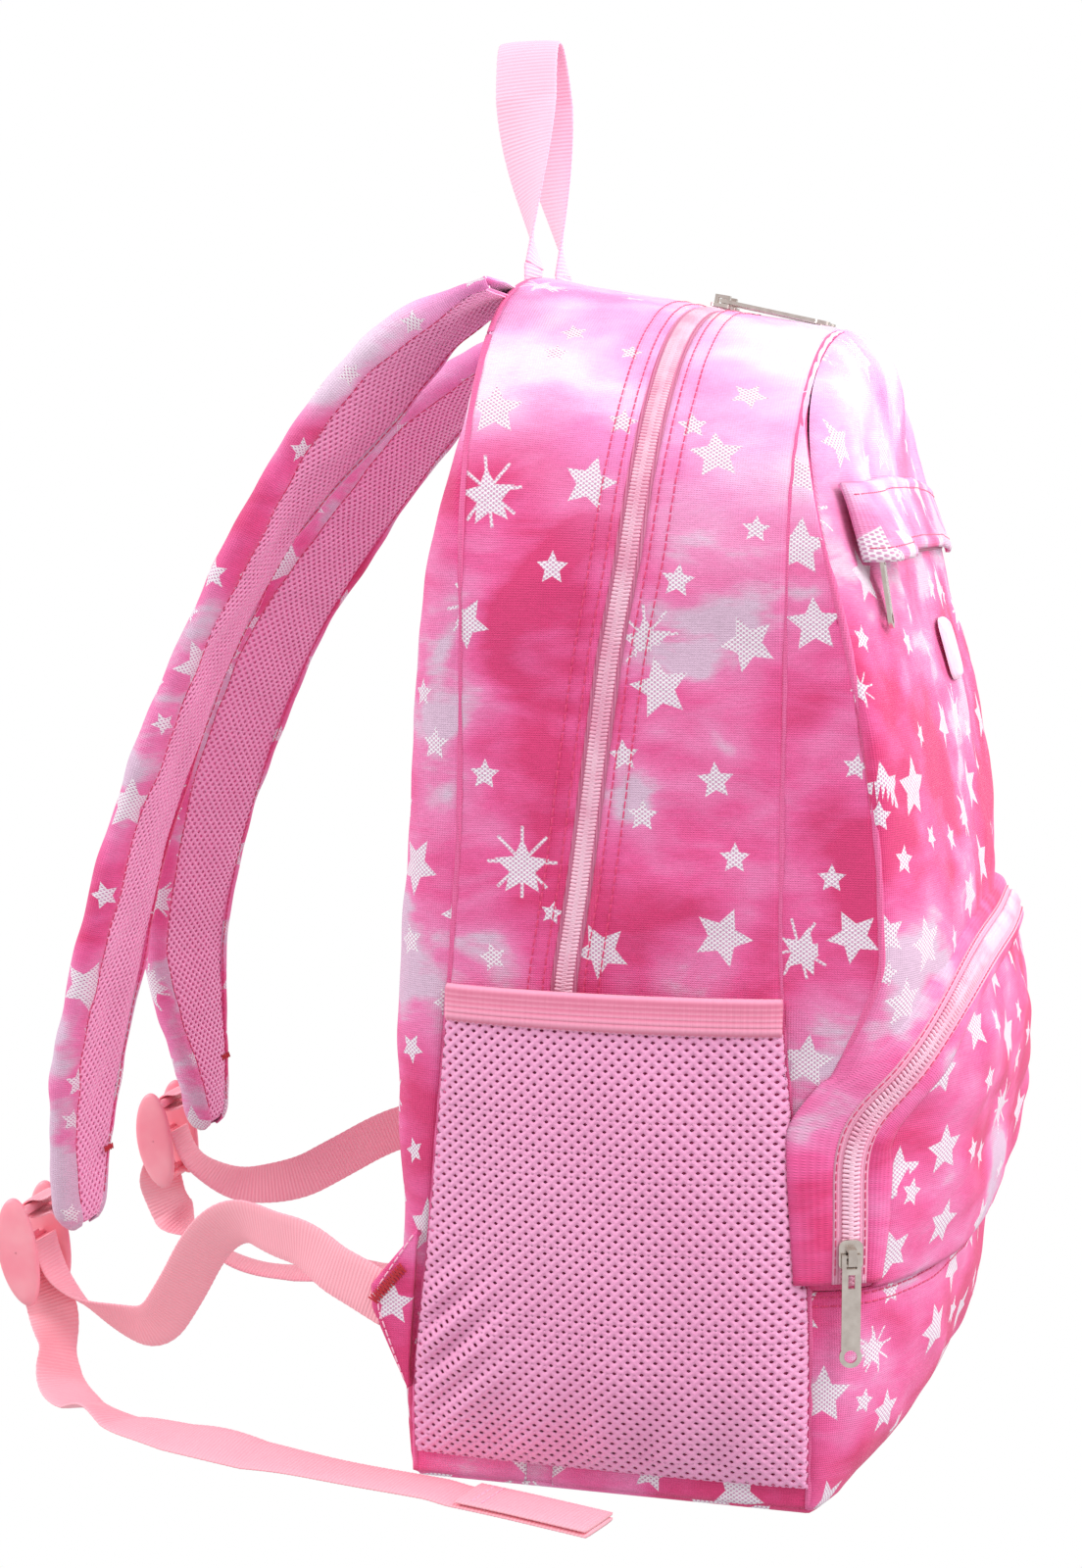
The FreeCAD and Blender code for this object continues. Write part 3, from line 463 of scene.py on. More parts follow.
class Nodes:
    """A material's node tree, with short calls to add to it."""

    def __init__(self, name, roughness=0.8, metallic=0.0, sheen=0.0):
        self.material = bpy.data.materials.new(name)
        self.material.use_nodes = True
        self.tree = self.material.node_tree
        self.shader = self.tree.nodes["Principled BSDF"]
        self.shader.inputs["Roughness"].default_value = roughness
        self.shader.inputs["Metallic"].default_value = metallic
        self.shader.inputs["Sheen Weight"].default_value = sheen
        self.shader.inputs["Sheen Roughness"].default_value = 0.5

    def put(self, socket, value):
        if isinstance(value, bpy.types.NodeSocket):
            self.tree.links.new(value, socket)
        else:
            socket.default_value = value

    def node(self, kind, *values, **named):
        node = self.tree.nodes.new(kind)
        for key, value in named.items():
            if key in node.inputs:
                self.put(node.inputs[key], value)
            else:
                setattr(node, key, value)
        for socket, value in zip(node.inputs, values):
            self.put(socket, value)
        return node

    def math(self, operation, a, b=0.0, clamp=False):
        return self.node("ShaderNodeMath", a, b, operation=operation, use_clamp=clamp).outputs[0]

    def plus(self, a, b, clamp=False):
        return self.math("ADD", a, b, clamp)

    def minus(self, a, b):
        return self.math("SUBTRACT", a, b)

    def times(self, a, b, clamp=False):
        return self.math("MULTIPLY", a, b, clamp)

    def colour(self, factor, a, b, blend="MIX"):
        node = self.node("ShaderNodeMix", data_type="RGBA", blend_type=blend)
        self.put(node.inputs[0], factor)
        self.put(node.inputs[6], a)
        self.put(node.inputs[7], b)
        return node.outputs[2]

    def steps(self, value, low, high):
        node = self.node("ShaderNodeMapRange", interpolation_type="SMOOTHSTEP")
        self.put(node.inputs["Value"], value)
        node.inputs["From Min"].default_value = low
        node.inputs["From Max"].default_value = high
        return node.outputs[0]

    def cloth(self, layer="cloth"):
        """U and V of a UV layer, as separate values."""
        uv = self.node("ShaderNodeUVMap", uv_map=layer).outputs[0]
        split = self.node("ShaderNodeSeparateXYZ", uv)
        return split.outputs[0], split.outputs[1]

    def place(self):
        return self.node("ShaderNodeTexCoord").outputs["Object"]

    def noise(self, scale, detail=2.0, roughness=0.5, vector=None, distortion=0.0):
        node = self.node("ShaderNodeTexNoise", Vector=vector or self.place(), Scale=scale, Detail=detail,
                         Roughness=roughness, Distortion=distortion)
        return node.outputs["Fac"]

    def ridge(self, value, pitch):
        """Sine wave between 0 and 1 along a value in metres, pitch in millimetres."""
        turns = self.times(value, 2 * math.pi / (pitch * MM))
        return self.plus(self.times(self.math("SINE", turns), 0.5), 0.5)

    def bump(self, height, depth, strength=1.0):
        node = self.node("ShaderNodeBump", Height=height, Distance=depth * MM, Strength=strength)
        self.put(self.shader.inputs["Normal"], node.outputs[0])

    def finish(self, colour):
        self.put(self.shader.inputs["Base Color"], colour)
        return self.material


HOT_PINK = shade(222, 56, 120)
PINK = shade(238, 92, 158)
CLEAR_PINK = shade(240, 128, 184)
PALE_GREY = shade(222, 186, 212)
LILAC = shade(249, 190, 236)
UPPER_PINK = shade(246, 146, 210)
# Painted highlight: the lilac-white that the upper canvas lightens to, over the dye's lilac.
LILAC_PAINTED_HIGHLIGHT = shade(250, 228, 248)
STAR_WHITE = shade(244, 234, 242)
STAR_DOT = shade(212, 150, 188)
HOT_BLOT = (0.0, -0.062, 0.215)      # middle of a strong patch of dye, seen from the side


def star_mask(n, x, y, size, inner=0.48):
    """1 inside a five-pointed star of that radius, with a tip along X."""
    radius = n.math("SQRT", n.plus(n.times(x, x), n.times(y, y)))
    angle = n.math("ARCTAN2", y, x)
    folded = n.math("PINGPONG", angle, math.pi / 5)
    slope = (1 - inner * math.cos(math.pi / 5)) / (inner * math.sin(math.pi / 5))
    reach = n.plus(n.math("COSINE", folded), n.times(n.math("SINE", folded), slope))
    edge = n.minus(size, n.times(radius, reach))
    return n.times(edge, 14.0, clamp=True), radius, angle


def ray_mask(n, radius, angle):
    """1 inside eight thin rays out to radius 1."""
    folded = n.math("PINGPONG", angle, math.pi / 8)
    off = n.times(radius, n.math("SINE", folded))
    thin = n.times(n.minus(0.062, off), 25.0, clamp=True)
    short = n.times(n.minus(1.0, radius), 25.0, clamp=True)
    return n.times(thin, short)


def print_mask(n):
    """1 where a star is printed."""
    x, y = n.cloth("print")
    burst = n.math("GREATER_THAN", x, BURST_SHIFT / 2)
    x = n.minus(x, n.times(burst, BURST_SHIFT))
    star, radius, angle = star_mask(n, x, y, 1.0)
    shifted = n.plus(x, 0.16)
    small = star_mask(n, shifted, y, 0.84)[0]
    rays = n.math("MAXIMUM", ray_mask(n, radius, angle), small)
    return n.plus(n.times(star, n.minus(1.0, burst)), n.times(rays, burst))


def ramp(n, value, first, last, *between):
    """Colour ramp through pairs of a position and a colour."""
    node = n.node("ShaderNodeValToRGB", value)
    stops = node.color_ramp.elements
    stops[0].position, stops[0].color = first
    stops[1].position, stops[1].color = last
    for position, colour in between:
        stops.new(position).color = colour
    return node.outputs[0]


def dye_clouds(n, place):
    """Clouds of the tie-dye, low where the dye is strong, and the split coordinates of the bag."""
    clouds = n.noise(14.0, detail=2.5, roughness=0.55, vector=place, distortion=0.3)
    flat = n.node("ShaderNodeVectorMath", place, (26.0, 26.0, 74.0), operation="MULTIPLY").outputs[0]
    smears = n.noise(1.0, detail=4.0, roughness=0.6, vector=flat, distortion=0.4)
    clouds = n.plus(clouds, n.times(n.minus(smears, 0.5), 0.30))
    split = n.node("ShaderNodeSeparateXYZ", n.place())
    forward = n.steps(n.times(split.outputs[1], -1.0), 0.018, 0.065)
    low = n.minus(1.0, n.steps(split.outputs[2], 0.24, 0.34))
    clouds = n.minus(clouds, n.times(n.times(forward, low), 0.04))
    flank = n.node("ShaderNodeCombineXYZ", 0.0, split.outputs[1], split.outputs[2]).outputs[0]
    away = n.node("ShaderNodeVectorMath", flank, HOT_BLOT, operation="DISTANCE").outputs["Value"]
    blot = n.minus(1.0, n.steps(away, 0.025, 0.075))
    clouds = n.minus(clouds, n.times(blot, 0.11))
    ground_edge = n.minus(1.0, n.steps(split.outputs[2], 0.012, 0.05))
    return n.minus(clouds, n.times(ground_edge, 0.09)), split


def printed_canvas(name, shift, lilac_highlight_low=0.335, lilac_highlight_high=0.415):
    """Canvas with a tie-dye ground and printed stars. shift moves the ground from panel to panel.

    The ground turns from pink to lilac between the two heights given last. The lilac is the dye's own, and
    the lightest lilac-white towards the top is a painted highlight on the upper bag."""
    n = Nodes(name, roughness=0.78, sheen=0.12)
    place = n.node("ShaderNodeVectorMath", n.place(), shift, operation="ADD").outputs[0]
    clouds, split = dye_clouds(n, place)
    ground = ramp(n, clouds, (0.36, HOT_PINK), (0.70, PALE_GREY), (0.46, PINK), (0.545, CLEAR_PINK),
                  (0.60, PALE_GREY))
    veil = n.noise(11.0, detail=1.0, vector=place)
    uneven = n.plus(split.outputs[2], n.times(n.minus(veil, 0.5), 0.10))
    # Painted highlight: higher up, the ground turns to the dye's lilac and lightens to a painted lilac-white.
    lilac_and_highlight = n.steps(uneven, lilac_highlight_low, lilac_highlight_high)
    upper = ramp(n, n.plus(clouds, 0.03), (0.38, UPPER_PINK), (0.66, LILAC_PAINTED_HIGHLIGHT), (0.52, LILAC))
    ground = n.colour(n.times(lilac_and_highlight, 0.9), ground, upper)
    u, v = n.cloth()
    dots = n.times(n.minus(n.ridge(u, 2.1), 0.5), n.minus(n.ridge(v, 1.6), 0.5))
    dotted = n.steps(dots, 0.0, 0.12)
    star = n.colour(dotted, STAR_WHITE, STAR_DOT)
    printed = n.colour(print_mask(n), ground, star)
    warp = n.times(n.ridge(u, 0.95), n.ridge(v, 0.8))
    stretched = n.node("ShaderNodeCombineXYZ", n.times(u, 300.0), n.times(v, 1500.0), 0.0)
    streaks = n.noise(1.0, detail=2.0, vector=stretched.outputs[0])
    grain = n.plus(n.times(warp, 0.16), n.times(streaks, 0.34))
    tone = n.plus(grain, 0.80)
    n.bump(n.plus(warp, n.times(streaks, 0.5)), 0.22)
    grey = n.node("ShaderNodeCombineColor", tone, tone, tone).outputs[0]
    return n.finish(n.colour(1.0, printed, grey, "MULTIPLY"))


def ribbed(name, colour, dark, pitch, across=False, roughness=0.62, depth=0.25, share=0.55):
    """Webbing or elastic with ribs along one direction of its cloth, and a fine yarn between them."""
    n = Nodes(name, roughness=roughness, sheen=0.15)
    u, v = n.cloth()
    ribs = n.ridge(u if across else v, pitch)
    yarn = n.ridge(v if across else u, 0.9)
    mottle = n.noise(260.0, detail=2.0)
    factor = n.times(n.minus(1.0, ribs), share)
    factor = n.plus(factor, n.times(n.minus(mottle, 0.5), 0.2), clamp=True)
    n.bump(n.plus(ribs, n.times(yarn, 0.15)), depth)
    return n.finish(n.colour(factor, colour, dark))


def yarn_net(name, colour, dark):
    """Knitted net: a satin yarn with a fine twist."""
    n = Nodes(name, roughness=0.55, sheen=0.2)
    fine = n.noise(900.0, detail=2.0)
    broad = n.noise(18.0, detail=1.0)
    factor = n.plus(n.times(fine, 0.5), n.times(broad, 0.35), clamp=True)
    n.bump(fine, 0.25)
    return n.finish(n.colour(factor, colour, dark))


def plain_weave(name, colour, dark, roughness=0.8):
    """Lining or tape woven from one yarn."""
    n = Nodes(name, roughness=roughness, sheen=0.1)
    fine = n.noise(700.0, detail=2.0)
    place = n.node("ShaderNodeSeparateXYZ", n.place())
    threads = n.times(n.ridge(place.outputs[2], 0.9), n.ridge(place.outputs[1], 0.9))
    height = n.plus(threads, fine)
    n.bump(height, 0.18)
    return n.finish(n.colour(n.times(height, 0.5, clamp=True), colour, dark))


def moulded(name, colour, dark, roughness=0.42):
    """Moulded plastic or rubber with a slight orange-peel."""
    n = Nodes(name, roughness=roughness)
    n.shader.inputs["Subsurface Weight"].default_value = 0.12
    n.shader.inputs["Subsurface Scale"].default_value = 0.004
    n.shader.inputs["Subsurface Radius"].default_value = (1.0, 0.4, 0.4)
    broad = n.noise(60.0, detail=2.0)
    n.bump(n.noise(900.0, detail=1.0), 0.05, 0.6)
    return n.finish(n.colour(n.steps(broad, 0.35, 0.7), colour, dark))


def nickel():
    """Polished nickel with fine scratches and random rougher patches, whose light and dark colour is a
    painted reflection.
    """
    n = Nodes("nickel", roughness=0.2, metallic=1.0)
    scratch = n.node("ShaderNodeVectorMath", n.place(), (900.0, 900.0, 90.0), operation="MULTIPLY").outputs[0]
    lines = n.noise(1.0, detail=3.0, vector=scratch)
    # Painted reflection: random patches that swing the colour between bright and dark nickel, and also make
    # it rougher.
    painted_reflection_patches = n.noise(220.0, detail=2.0)
    rough = n.plus(n.times(lines, 0.16), n.times(painted_reflection_patches, 0.16))
    n.put(n.shader.inputs["Roughness"], n.plus(rough, 0.08))
    n.bump(n.plus(lines, painted_reflection_patches), 0.03)
    return n.finish(n.colour(painted_reflection_patches, shade(246, 236, 228), shade(186, 172, 164)))


def thread(name, colour, dark):
    n = Nodes(name, roughness=0.5, sheen=0.2)
    fine = n.noise(1500.0, detail=1.0)
    n.bump(fine, 0.1)
    return n.finish(n.colour(fine, colour, dark))


def make_materials():
    made = {}
    made["canvas_bag"] = printed_canvas("canvas_bag", (0.013, 0.021, 0.004))
    made["canvas_front"] = printed_canvas("canvas_front", (0.31, 0.127, 0.42), 0.345, 0.42)
    made["canvas_strap"] = printed_canvas("canvas_strap", (0.12, 0.4, 0.23), 0.37, 0.45)
    made["net"] = yarn_net("air_mesh", shade(248, 176, 216), shade(226, 128, 182))
    # Painted light: a lighter copy of the air mesh for the straps, making up for the shade on their inner
    # faces.
    made["net_strap"] = yarn_net("air_mesh_strap_painted_light", shade(255, 192, 228), shade(250, 150, 202))
    made["padding"] = plain_weave("padding", shade(246, 128, 184), shade(232, 104, 162))
    # Painted light: a lighter copy of the padding for the straps, making up for the shade on their inner
    # faces.
    made["strap_padding_painted_light"] = plain_weave("strap_padding_painted_light", shade(255, 164, 212), shade(250, 138, 194))
    made["webbing"] = ribbed("webbing", shade(255, 178, 192), shade(254, 150, 168), 1.5, depth=0.1, share=0.4)
    made["handle"] = ribbed("handle_webbing", shade(255, 200, 222), shade(248, 170, 196), 1.5, depth=0.1,
                            share=0.4)
    made["elastic"] = ribbed("elastic", shade(246, 160, 190), shade(216, 106, 140), 1.9, share=0.8)
    made["tape"] = ribbed("zip_tape", shade(222, 132, 168), shade(198, 98, 140), 1.1, across=True)
    made["pale_tape"] = ribbed("pale_tape", shade(250, 176, 206), shade(236, 142, 180), 1.2, across=True)
    made["coil"] = moulded("coil", shade(252, 198, 218), shade(240, 164, 192), 0.38)
    made["nickel"] = nickel()
    made["plastic"] = moulded("pink_plastic", shade(255, 166, 180), shade(252, 148, 166), 0.4)
    made["badge"] = moulded("badge_rubber", shade(250, 214, 232), shade(246, 196, 222), 0.36)
    made["stitch"] = thread("pink_thread", shade(232, 66, 124), shade(206, 44, 102))
    made["pale_stitch"] = thread("pale_thread", shade(252, 200, 220), shade(244, 170, 200))
    made["red_thread"] = thread("red_thread", shade(206, 20, 44), shade(170, 10, 34))
    made["seam"] = plain_weave("seam_cloth", shade(238, 112, 168), shade(224, 88, 146))
    made["lining"] = plain_weave("lining", shade(240, 150, 188), shade(226, 128, 170))
    made["foam"] = moulded("foam", shade(244, 240, 238), shade(230, 224, 222), 0.9)
    return made


# ---- cords: the adjuster webbings ----
def line_of(name, route):
    """Points in millimetres along the NURBS spline that has the route as its control points."""
    data = bpy.data.curves.new(name, "CURVE")
    data.dimensions = "3D"
    data.resolution_u = 24
    spline = data.splines.new("NURBS")
    spline.points.add(len(route) - 1)
    for point, place in zip(spline.points, route):
        point.co = (place[0] * MM, place[1] * MM, place[2] * MM, 1.0)
    spline.order_u = 3
    spline.use_endpoint_u = True
    holder = bpy.data.objects.new(name, data)
    mesh = bpy.data.meshes.new_from_object(holder)
    points = np.array([v.co for v in mesh.vertices]) / MM
    bpy.data.meshes.remove(mesh)
    bpy.data.objects.remove(holder)
    bpy.data.curves.remove(data)
    return points


def carried_width(line):
    """Width direction that starts along X and isn't twisted on its way along the line."""
    along = tangents(line)
    across = np.zeros_like(line)
    now = np.array([1.0, 0.0, 0.0])
    for i, direction in enumerate(along):
        now = now - direction * now.dot(direction)
        now = now / np.linalg.norm(now)
        across[i] = now
    return along, across


def turned_to(across, target, share):
    """Width directions that turn from across to target as share goes from 0 to 1."""
    target = target.copy()
    first = int(np.argmax(share > 0.02))
    if np.dot(target[first], across[first]) < 0:
        target[first] = -target[first]
    for step in (1, -1):
        last = len(target) - 1 if step > 0 else 0
        for i in range(first + step, last + step, step):
            if np.dot(target[i], target[i - step]) < 0:
                target[i] = -target[i]
    angle = np.arccos(np.clip(np.sum(across * target, axis=1), -1.0, 1.0)) * share
    other = unit(target - across * np.sum(target * across, axis=1)[:, None])
    return across * np.cos(angle)[:, None] + other * np.sin(angle)[:, None]


def level_width(line):
    return np.broadcast_to([1.0, 0.0, 0.0], line.shape)


def web_piece(name, line, across, material, width=WEB_WIDTH, thick=WEB_THICK, rib=1.5, lift=0.0, curl=0.0):
    """Flat webbing along a dense line, with real ribs across it and rounded edges."""
    along = tangents(line)
    out = unit(np.cross(across, along))
    length = lengths_along(line)
    top = np.array(WEB_SECTION)
    u = np.concatenate([top, top[-2:0:-1]])
    v = np.sqrt(np.maximum(1 - np.abs(u) ** 10, 0.0))
    v[len(top):] *= -1
    ribs = 1.0 + 0.13 * np.sin(length * 2 * np.pi / rib)
    height = v[None, :] * ribs[:, None] * thick / 2 + np.asarray(lift, float).reshape(-1, 1)
    height = height + curl * (u[None, :] ** 2)
    edge = 1.0 + 0.006 * np.sin(length * 2 * np.pi / (rib * 2))
    points = (line[:, None, :] + across[:, None, :] * (u[None, :] * edge[:, None] * width / 2)[..., None]
              + out[:, None, :] * height[..., None])
    shape = (len(line), len(u))
    faces = [grid_faces(*shape, wrap=True), end_faces(*shape)]
    return new_piece(name, points, faces, material, joined(u * width / 2, length[:, None]))


def floor_share(line):
    return np.clip((LEVEL_BELOW - line[:, 2]) / (LEVEL_BELOW / 2), 0.0, 1.0)


def ripple_line(line, seed, amount, wavelength=34.0):
    """The line with the slight waves that webbing keeps from its packing, none of them near its ends."""
    share = lengths_along(line) / lengths_along(line)[-1]
    hold = ease(share, 0.03, 0.16) * (1 - ease(share, 0.88, 0.98))
    wave = ripples(line, wavelength, seed, 5)
    moved = line.copy()
    moved[:, 2] += amount * hold * wave * np.clip((line[:, 2] - 6.0) / 18.0, 0.0, 1.0)
    return moved


def twisted(along, across, share, twists):
    """Width directions turned about the line, by some degrees round each share of its length."""
    angle = sum(np.radians(degrees) * np.exp(-((share - at) / reach) ** 2) for at, reach, degrees in twists)
    out = np.cross(across, along)
    return across * np.cos(angle)[:, None] + out * np.sin(angle)[:, None]


def make_lower_webbings(m):
    """The webbings from the straps' lower ends to the bag, each a free cord."""
    runs = (("left", -1, LOWER_WEB_LEFT, 0.34), ("right", 1, LOWER_WEB_RIGHT, 0.42))
    for name, side, route, turn_end in runs:
        line = resample(ripple_line(line_of("line", route), SEED + side, 0.9), 0.5)
        along, across = carried_width(line)
        share = lengths_along(line) / lengths_along(line)[-1]
        target = unit(np.cross([1.0, 0.0, 0.0], along))
        slack = 1 - 0.25 * np.sin(np.pi * share) ** 2
        across = turned_to(across, target, ease(share, 0.04, turn_end) * slack)
        web = web_piece("webbing_lower_" + name, line, across, m["webbing"])
        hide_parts("lower_webbing_" + name)
        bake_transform(web)


def make_tails(m):
    """The webbings' loose tails, each a free cord with its end folded back and stitched."""
    for name, side, route in (("left", -1, TAIL_LEFT), ("right", 1, TAIL_RIGHT)):
        line = resample(ripple_line(line_of("line", route), SEED + 5 + side, 0.7), 0.5)
        along, across = carried_width(line)
        share = lengths_along(line) / lengths_along(line)[-1]
        facing = unit(np.cross([1.0, 0.12, 0.0], along))
        across = turned_to(across, facing, ease(share, 0.02, 0.13))
        level = unit(np.cross([0.0, 0.0, 1.0], along))
        across = turned_to(across, level, floor_share(line) ** 0.8)
        across = twisted(along, across, share, TAIL_TWISTS[name])
        fold = share > 0.835
        lift = -0.95 * ease(share, 0.79, 0.83)
        edge_height = line[:, 2] - 0.5 * WEB_WIDTH * np.abs(across[:, 2]) + lift
        line[:, 2] += np.maximum(0.6 * WEB_THICK - edge_height, 0.0)
        out = unit(np.cross(across, along))
        up = np.where(out[:, 2:3] < 0, -1.0, 1.0)[:, 0]
        tail = web_piece("webbing_tail_run_" + name, line, across, m["webbing"], lift=lift * up)
        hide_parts("webbing_tail_" + name, "folded_end_" + name)
        end = web_piece("webbing_fold_" + name, line[fold], across[fold], m["webbing"], lift=up[fold])
        first = int(np.argmax(fold))
        marks = []
        for step in (first + 12, first + 20):
            at = line[step] + out[step] * up[first] * 1.85
            for k in np.linspace(-7.5, 6.0, 5):
                marks.append((at + across[step] * k, at + across[step] * (k + 2.4)))
        marks = np.array(marks)
        thread_piece = rods("fold_stitches_" + name, *marks.transpose(1, 0, 2), 0.28, m["pale_stitch"])
        for piece in (tail, end, thread_piece):
            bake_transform(piece)


# ---- threads and teeth ----
def rods(name, starts, ends, radius, material, sides=6):
    """Many short round rods with rounded ends, in one piece."""
    starts = np.asarray(starts, float)
    ends = np.asarray(ends, float)
    axis = unit(ends - starts)
    helper = np.where(np.abs(axis[:, 2:3]) > 0.8, [[1.0, 0.0, 0.0]], [[0.0, 0.0, 1.0]])
    ring = ring_round(axis, helper, np.arange(sides) * 2 * np.pi / sides)
    rings = []
    for at, shift, size in ((starts, -0.7, 0.55), (starts, 0.0, 1.0), (ends, 0.0, 1.0), (ends, 0.7, 0.55)):
        rings.append((at + axis * shift * radius)[:, None, :] + ring * radius * size)
    points = np.stack(rings, axis=1)
    base = (np.arange(len(starts)) * 4 * sides)[:, None, None]
    walls = (grid_faces(4, sides, wrap=True) + base).reshape(-1, 4)
    caps = (end_faces(4, sides) + base).reshape(-1, sides)
    return new_piece(name, points, [walls, caps], material)


def coil_teeth(name, line, across, out, shift, rises, material):
    """Slanted teeth of a coil zip, from just over its middle line to its tape."""
    run = tangents(line)
    inner = line + run * shift - across * 0.5 + out * rises[0]
    outer = line + run * (shift + 0.45) + across * COIL_HALF + out * rises[1]
    return rods(name, inner, outer, 0.72, material)


def dashes(line, normals, lift, pitch, share):
    """Starts and ends of a row of stitches along a line that lies on the cloth."""
    along = lengths_along(line)
    spots = np.arange(pitch, along[-1] - pitch, pitch)
    raised = line + normals * lift
    return line_at(spots, along, raised), line_at(spots + pitch * share, along, raised)


def stitches(name, lines, material, body, radius=0.27, pitch=3.4, lift=0.12, share=0.68, rides=None):
    """Rows of stitches as one piece. lines holds pairs of a line and its normals."""
    rows = [dashes(line, normals, lift, pitch, share) for line, normals in lines]
    starts, ends = (np.concatenate(marks) for marks in zip(*rows))
    piece = rods(name, starts, ends, radius, material)
    if rides is None:
        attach(piece, body)
    else:
        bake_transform(piece)
    return piece


def tube(name, line, radius, material, sides=8):
    """Round tube along a line, such as a rolled edge or piping."""
    along = tangents(line)
    helper = np.where(np.abs(along[:, 0:1]) > 0.8, [[0.0, 0.0, 1.0]], [[1.0, 0.0, 0.0]])
    turn = np.arange(sides) * 2 * np.pi / sides
    points = line[:, None, :] + radius * ring_round(along, helper, turn)
    cloth = joined(turn * radius, lengths_along(line)[:, None])
    faces = [grid_faces(len(line), sides, wrap=True), end_faces(len(line), sides)]
    return new_piece(name, points, faces, material, cloth)


def grid_line(grid, t):
    """Line of points down a grid at a share t of its columns."""
    spot = np.broadcast_to(t, (len(grid),)) * (grid.shape[1] - 1)
    low = np.clip(np.floor(spot).astype(int), 0, grid.shape[1] - 2)
    rows = np.arange(len(grid))
    return mix(grid[rows, low], grid[rows, low + 1], (spot - low)[:, None])


def grid_row(grid, t):
    return grid_line(grid.transpose(1, 0, 2), t)


# ---- canvas panels ----
def outward(grid, centre):
    """Normals of a grid, pointing away from a centre."""
    normals = grid_normals(grid)
    away = np.sum(normals * (grid - centre), axis=-1).mean()
    return normals if away > 0 else -normals


def cloth_grid(grid, centre, seed, swell=0.9, wavelength=52.0, roll=0.75, edges=(1, 1, 1, 1), pucker=0.3):
    """A panel's grid with the waves, rolled edges and puckers of sewn canvas.

    edges are 1 where there is a seam at the first column, last column, first row and last row."""
    normals = outward(grid, centre)
    across = np.linalg.norm(np.diff(grid, axis=1), axis=2)
    down = np.linalg.norm(np.diff(grid, axis=0), axis=2)
    from_left = np.concatenate([np.zeros((len(grid), 1)), np.cumsum(across, axis=1)], axis=1)
    from_top = np.concatenate([np.zeros((1, grid.shape[1])), np.cumsum(down, axis=0)], axis=0)
    from_right = from_left[:, -1:] - from_left
    from_bottom = from_top[-1:] - from_top
    height = swell * ripples(grid, wavelength, seed)
    height = height + swell * 0.35 * ripples(grid, wavelength * 0.38, seed + 1)
    distances = (from_left, from_right, from_top, from_bottom)
    runs = (from_top, from_top, from_left, from_left)
    nearest = np.full(grid.shape[:2], 1e3)
    for k in range(4):
        if not edges[k]:
            continue
        nearest = np.minimum(nearest, distances[k])
        wave = np.sin(runs[k] * 2 * np.pi / PUCKER_PITCH + 2.0 * ripples(grid, 60.0, seed + 3 + k, 3))
        height = height + pucker * wave * np.exp(-distances[k] / 7.0)
    calm = 1 - np.exp(-nearest / 14.0)
    height = height * (0.25 + 0.75 * calm) - roll * np.exp(-(nearest / 1.5) ** 1.3)
    return grid + normals * height[..., None], normals


def panel(name, grid, cloth, material, stars, seed, **look):
    """Printed canvas panel from its smooth grid."""
    moved, normals = cloth_grid(grid, BAG_CENTRE, seed, **look)
    faces = grid_faces(*grid.shape[:2])
    a, b, c = moved.reshape(-1, 3)[faces[len(faces) // 2][:3]]
    if np.dot(np.cross(b - a, c - b), normals.reshape(-1, 3)[faces[len(faces) // 2][0]]) < 0:
        faces = faces[:, ::-1]
    piece = new_piece(name, moved, faces, material, cloth, stars)
    thicken(piece, CLOTH)
    return piece, moved, normals


def stations(low, pitch=2.1):
    """Arch stations from the left base over the top, with each one's distance along the arch."""
    s = np.linspace(-1 + low / SPRING_HEIGHT * SIDE_SHARE, 1 - low / SPRING_HEIGHT * SIDE_SHARE, 8001)
    x, z = arch_point(s, 0.0)
    along = lengths_along(joined(x, z))
    spots = np.linspace(0, along[-1], int(along[-1] / pitch))
    return np.interp(spots, along, s), spots + low


def arch_strip(low_y, high_y, low, columns, pitch=2.1):
    """Grid over the arch between two depth curves, and its place on the cloth.

    That place is the depth and the distance along the arch from the left base."""
    s, along = stations(low, pitch)
    height = arch_point(s, 0.0)[1]
    t = np.linspace(0.0, 1.0, columns)
    y = mix(low_y(height)[:, None], high_y(height)[:, None], t)
    x, z = arch_point(s[:, None], y)
    return joined(x, y, z), joined(y, along[:, None])


def make_gussets(m):
    """The side and top cloth behind the main zip and in front of it."""
    halves = (("rear", "bag", lambda z: zip_line(z) + ZIP_HALF - 0.6, lambda z: back_seam(z) - 0.3, 28, 0.75),
              ("front", "front_half", lambda z: front_seam(z) + 0.2, lambda z: zip_line(z) - ZIP_HALF + 0.6,
               24, 0.85))
    for k, (name, body, low_y, high_y, columns, swell) in enumerate(halves):
        grid, cloth = arch_strip(low_y, high_y, 3.5, columns)
        stars = scatter(cloth, SEED + 20 + k, SIDE_STARS, bare=(-200, 200, -5, 470))
        piece, moved, normals = panel("gusset_" + name, grid, cloth, m["canvas_bag"], stars, SEED + 1 + k,
                                      swell=swell)
        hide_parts(name + "_gusset")
        if body == "bag":
            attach(piece, "bag")
        else:
            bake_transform(piece)
        above = grid[:, 0, 2] > ZIP_END - 4
        width = np.linalg.norm(moved[:, -1] - moved[:, 0], axis=1)
        lines = []
        for distance in SEAM_ROWS:
            t = distance / width if body == "bag" else 1 - distance / width
            lines.append((grid_line(moved, t)[above], grid_line(normals, t)[above]))
        stitches("gusset_stitches_" + name, lines, m["stitch"], body)


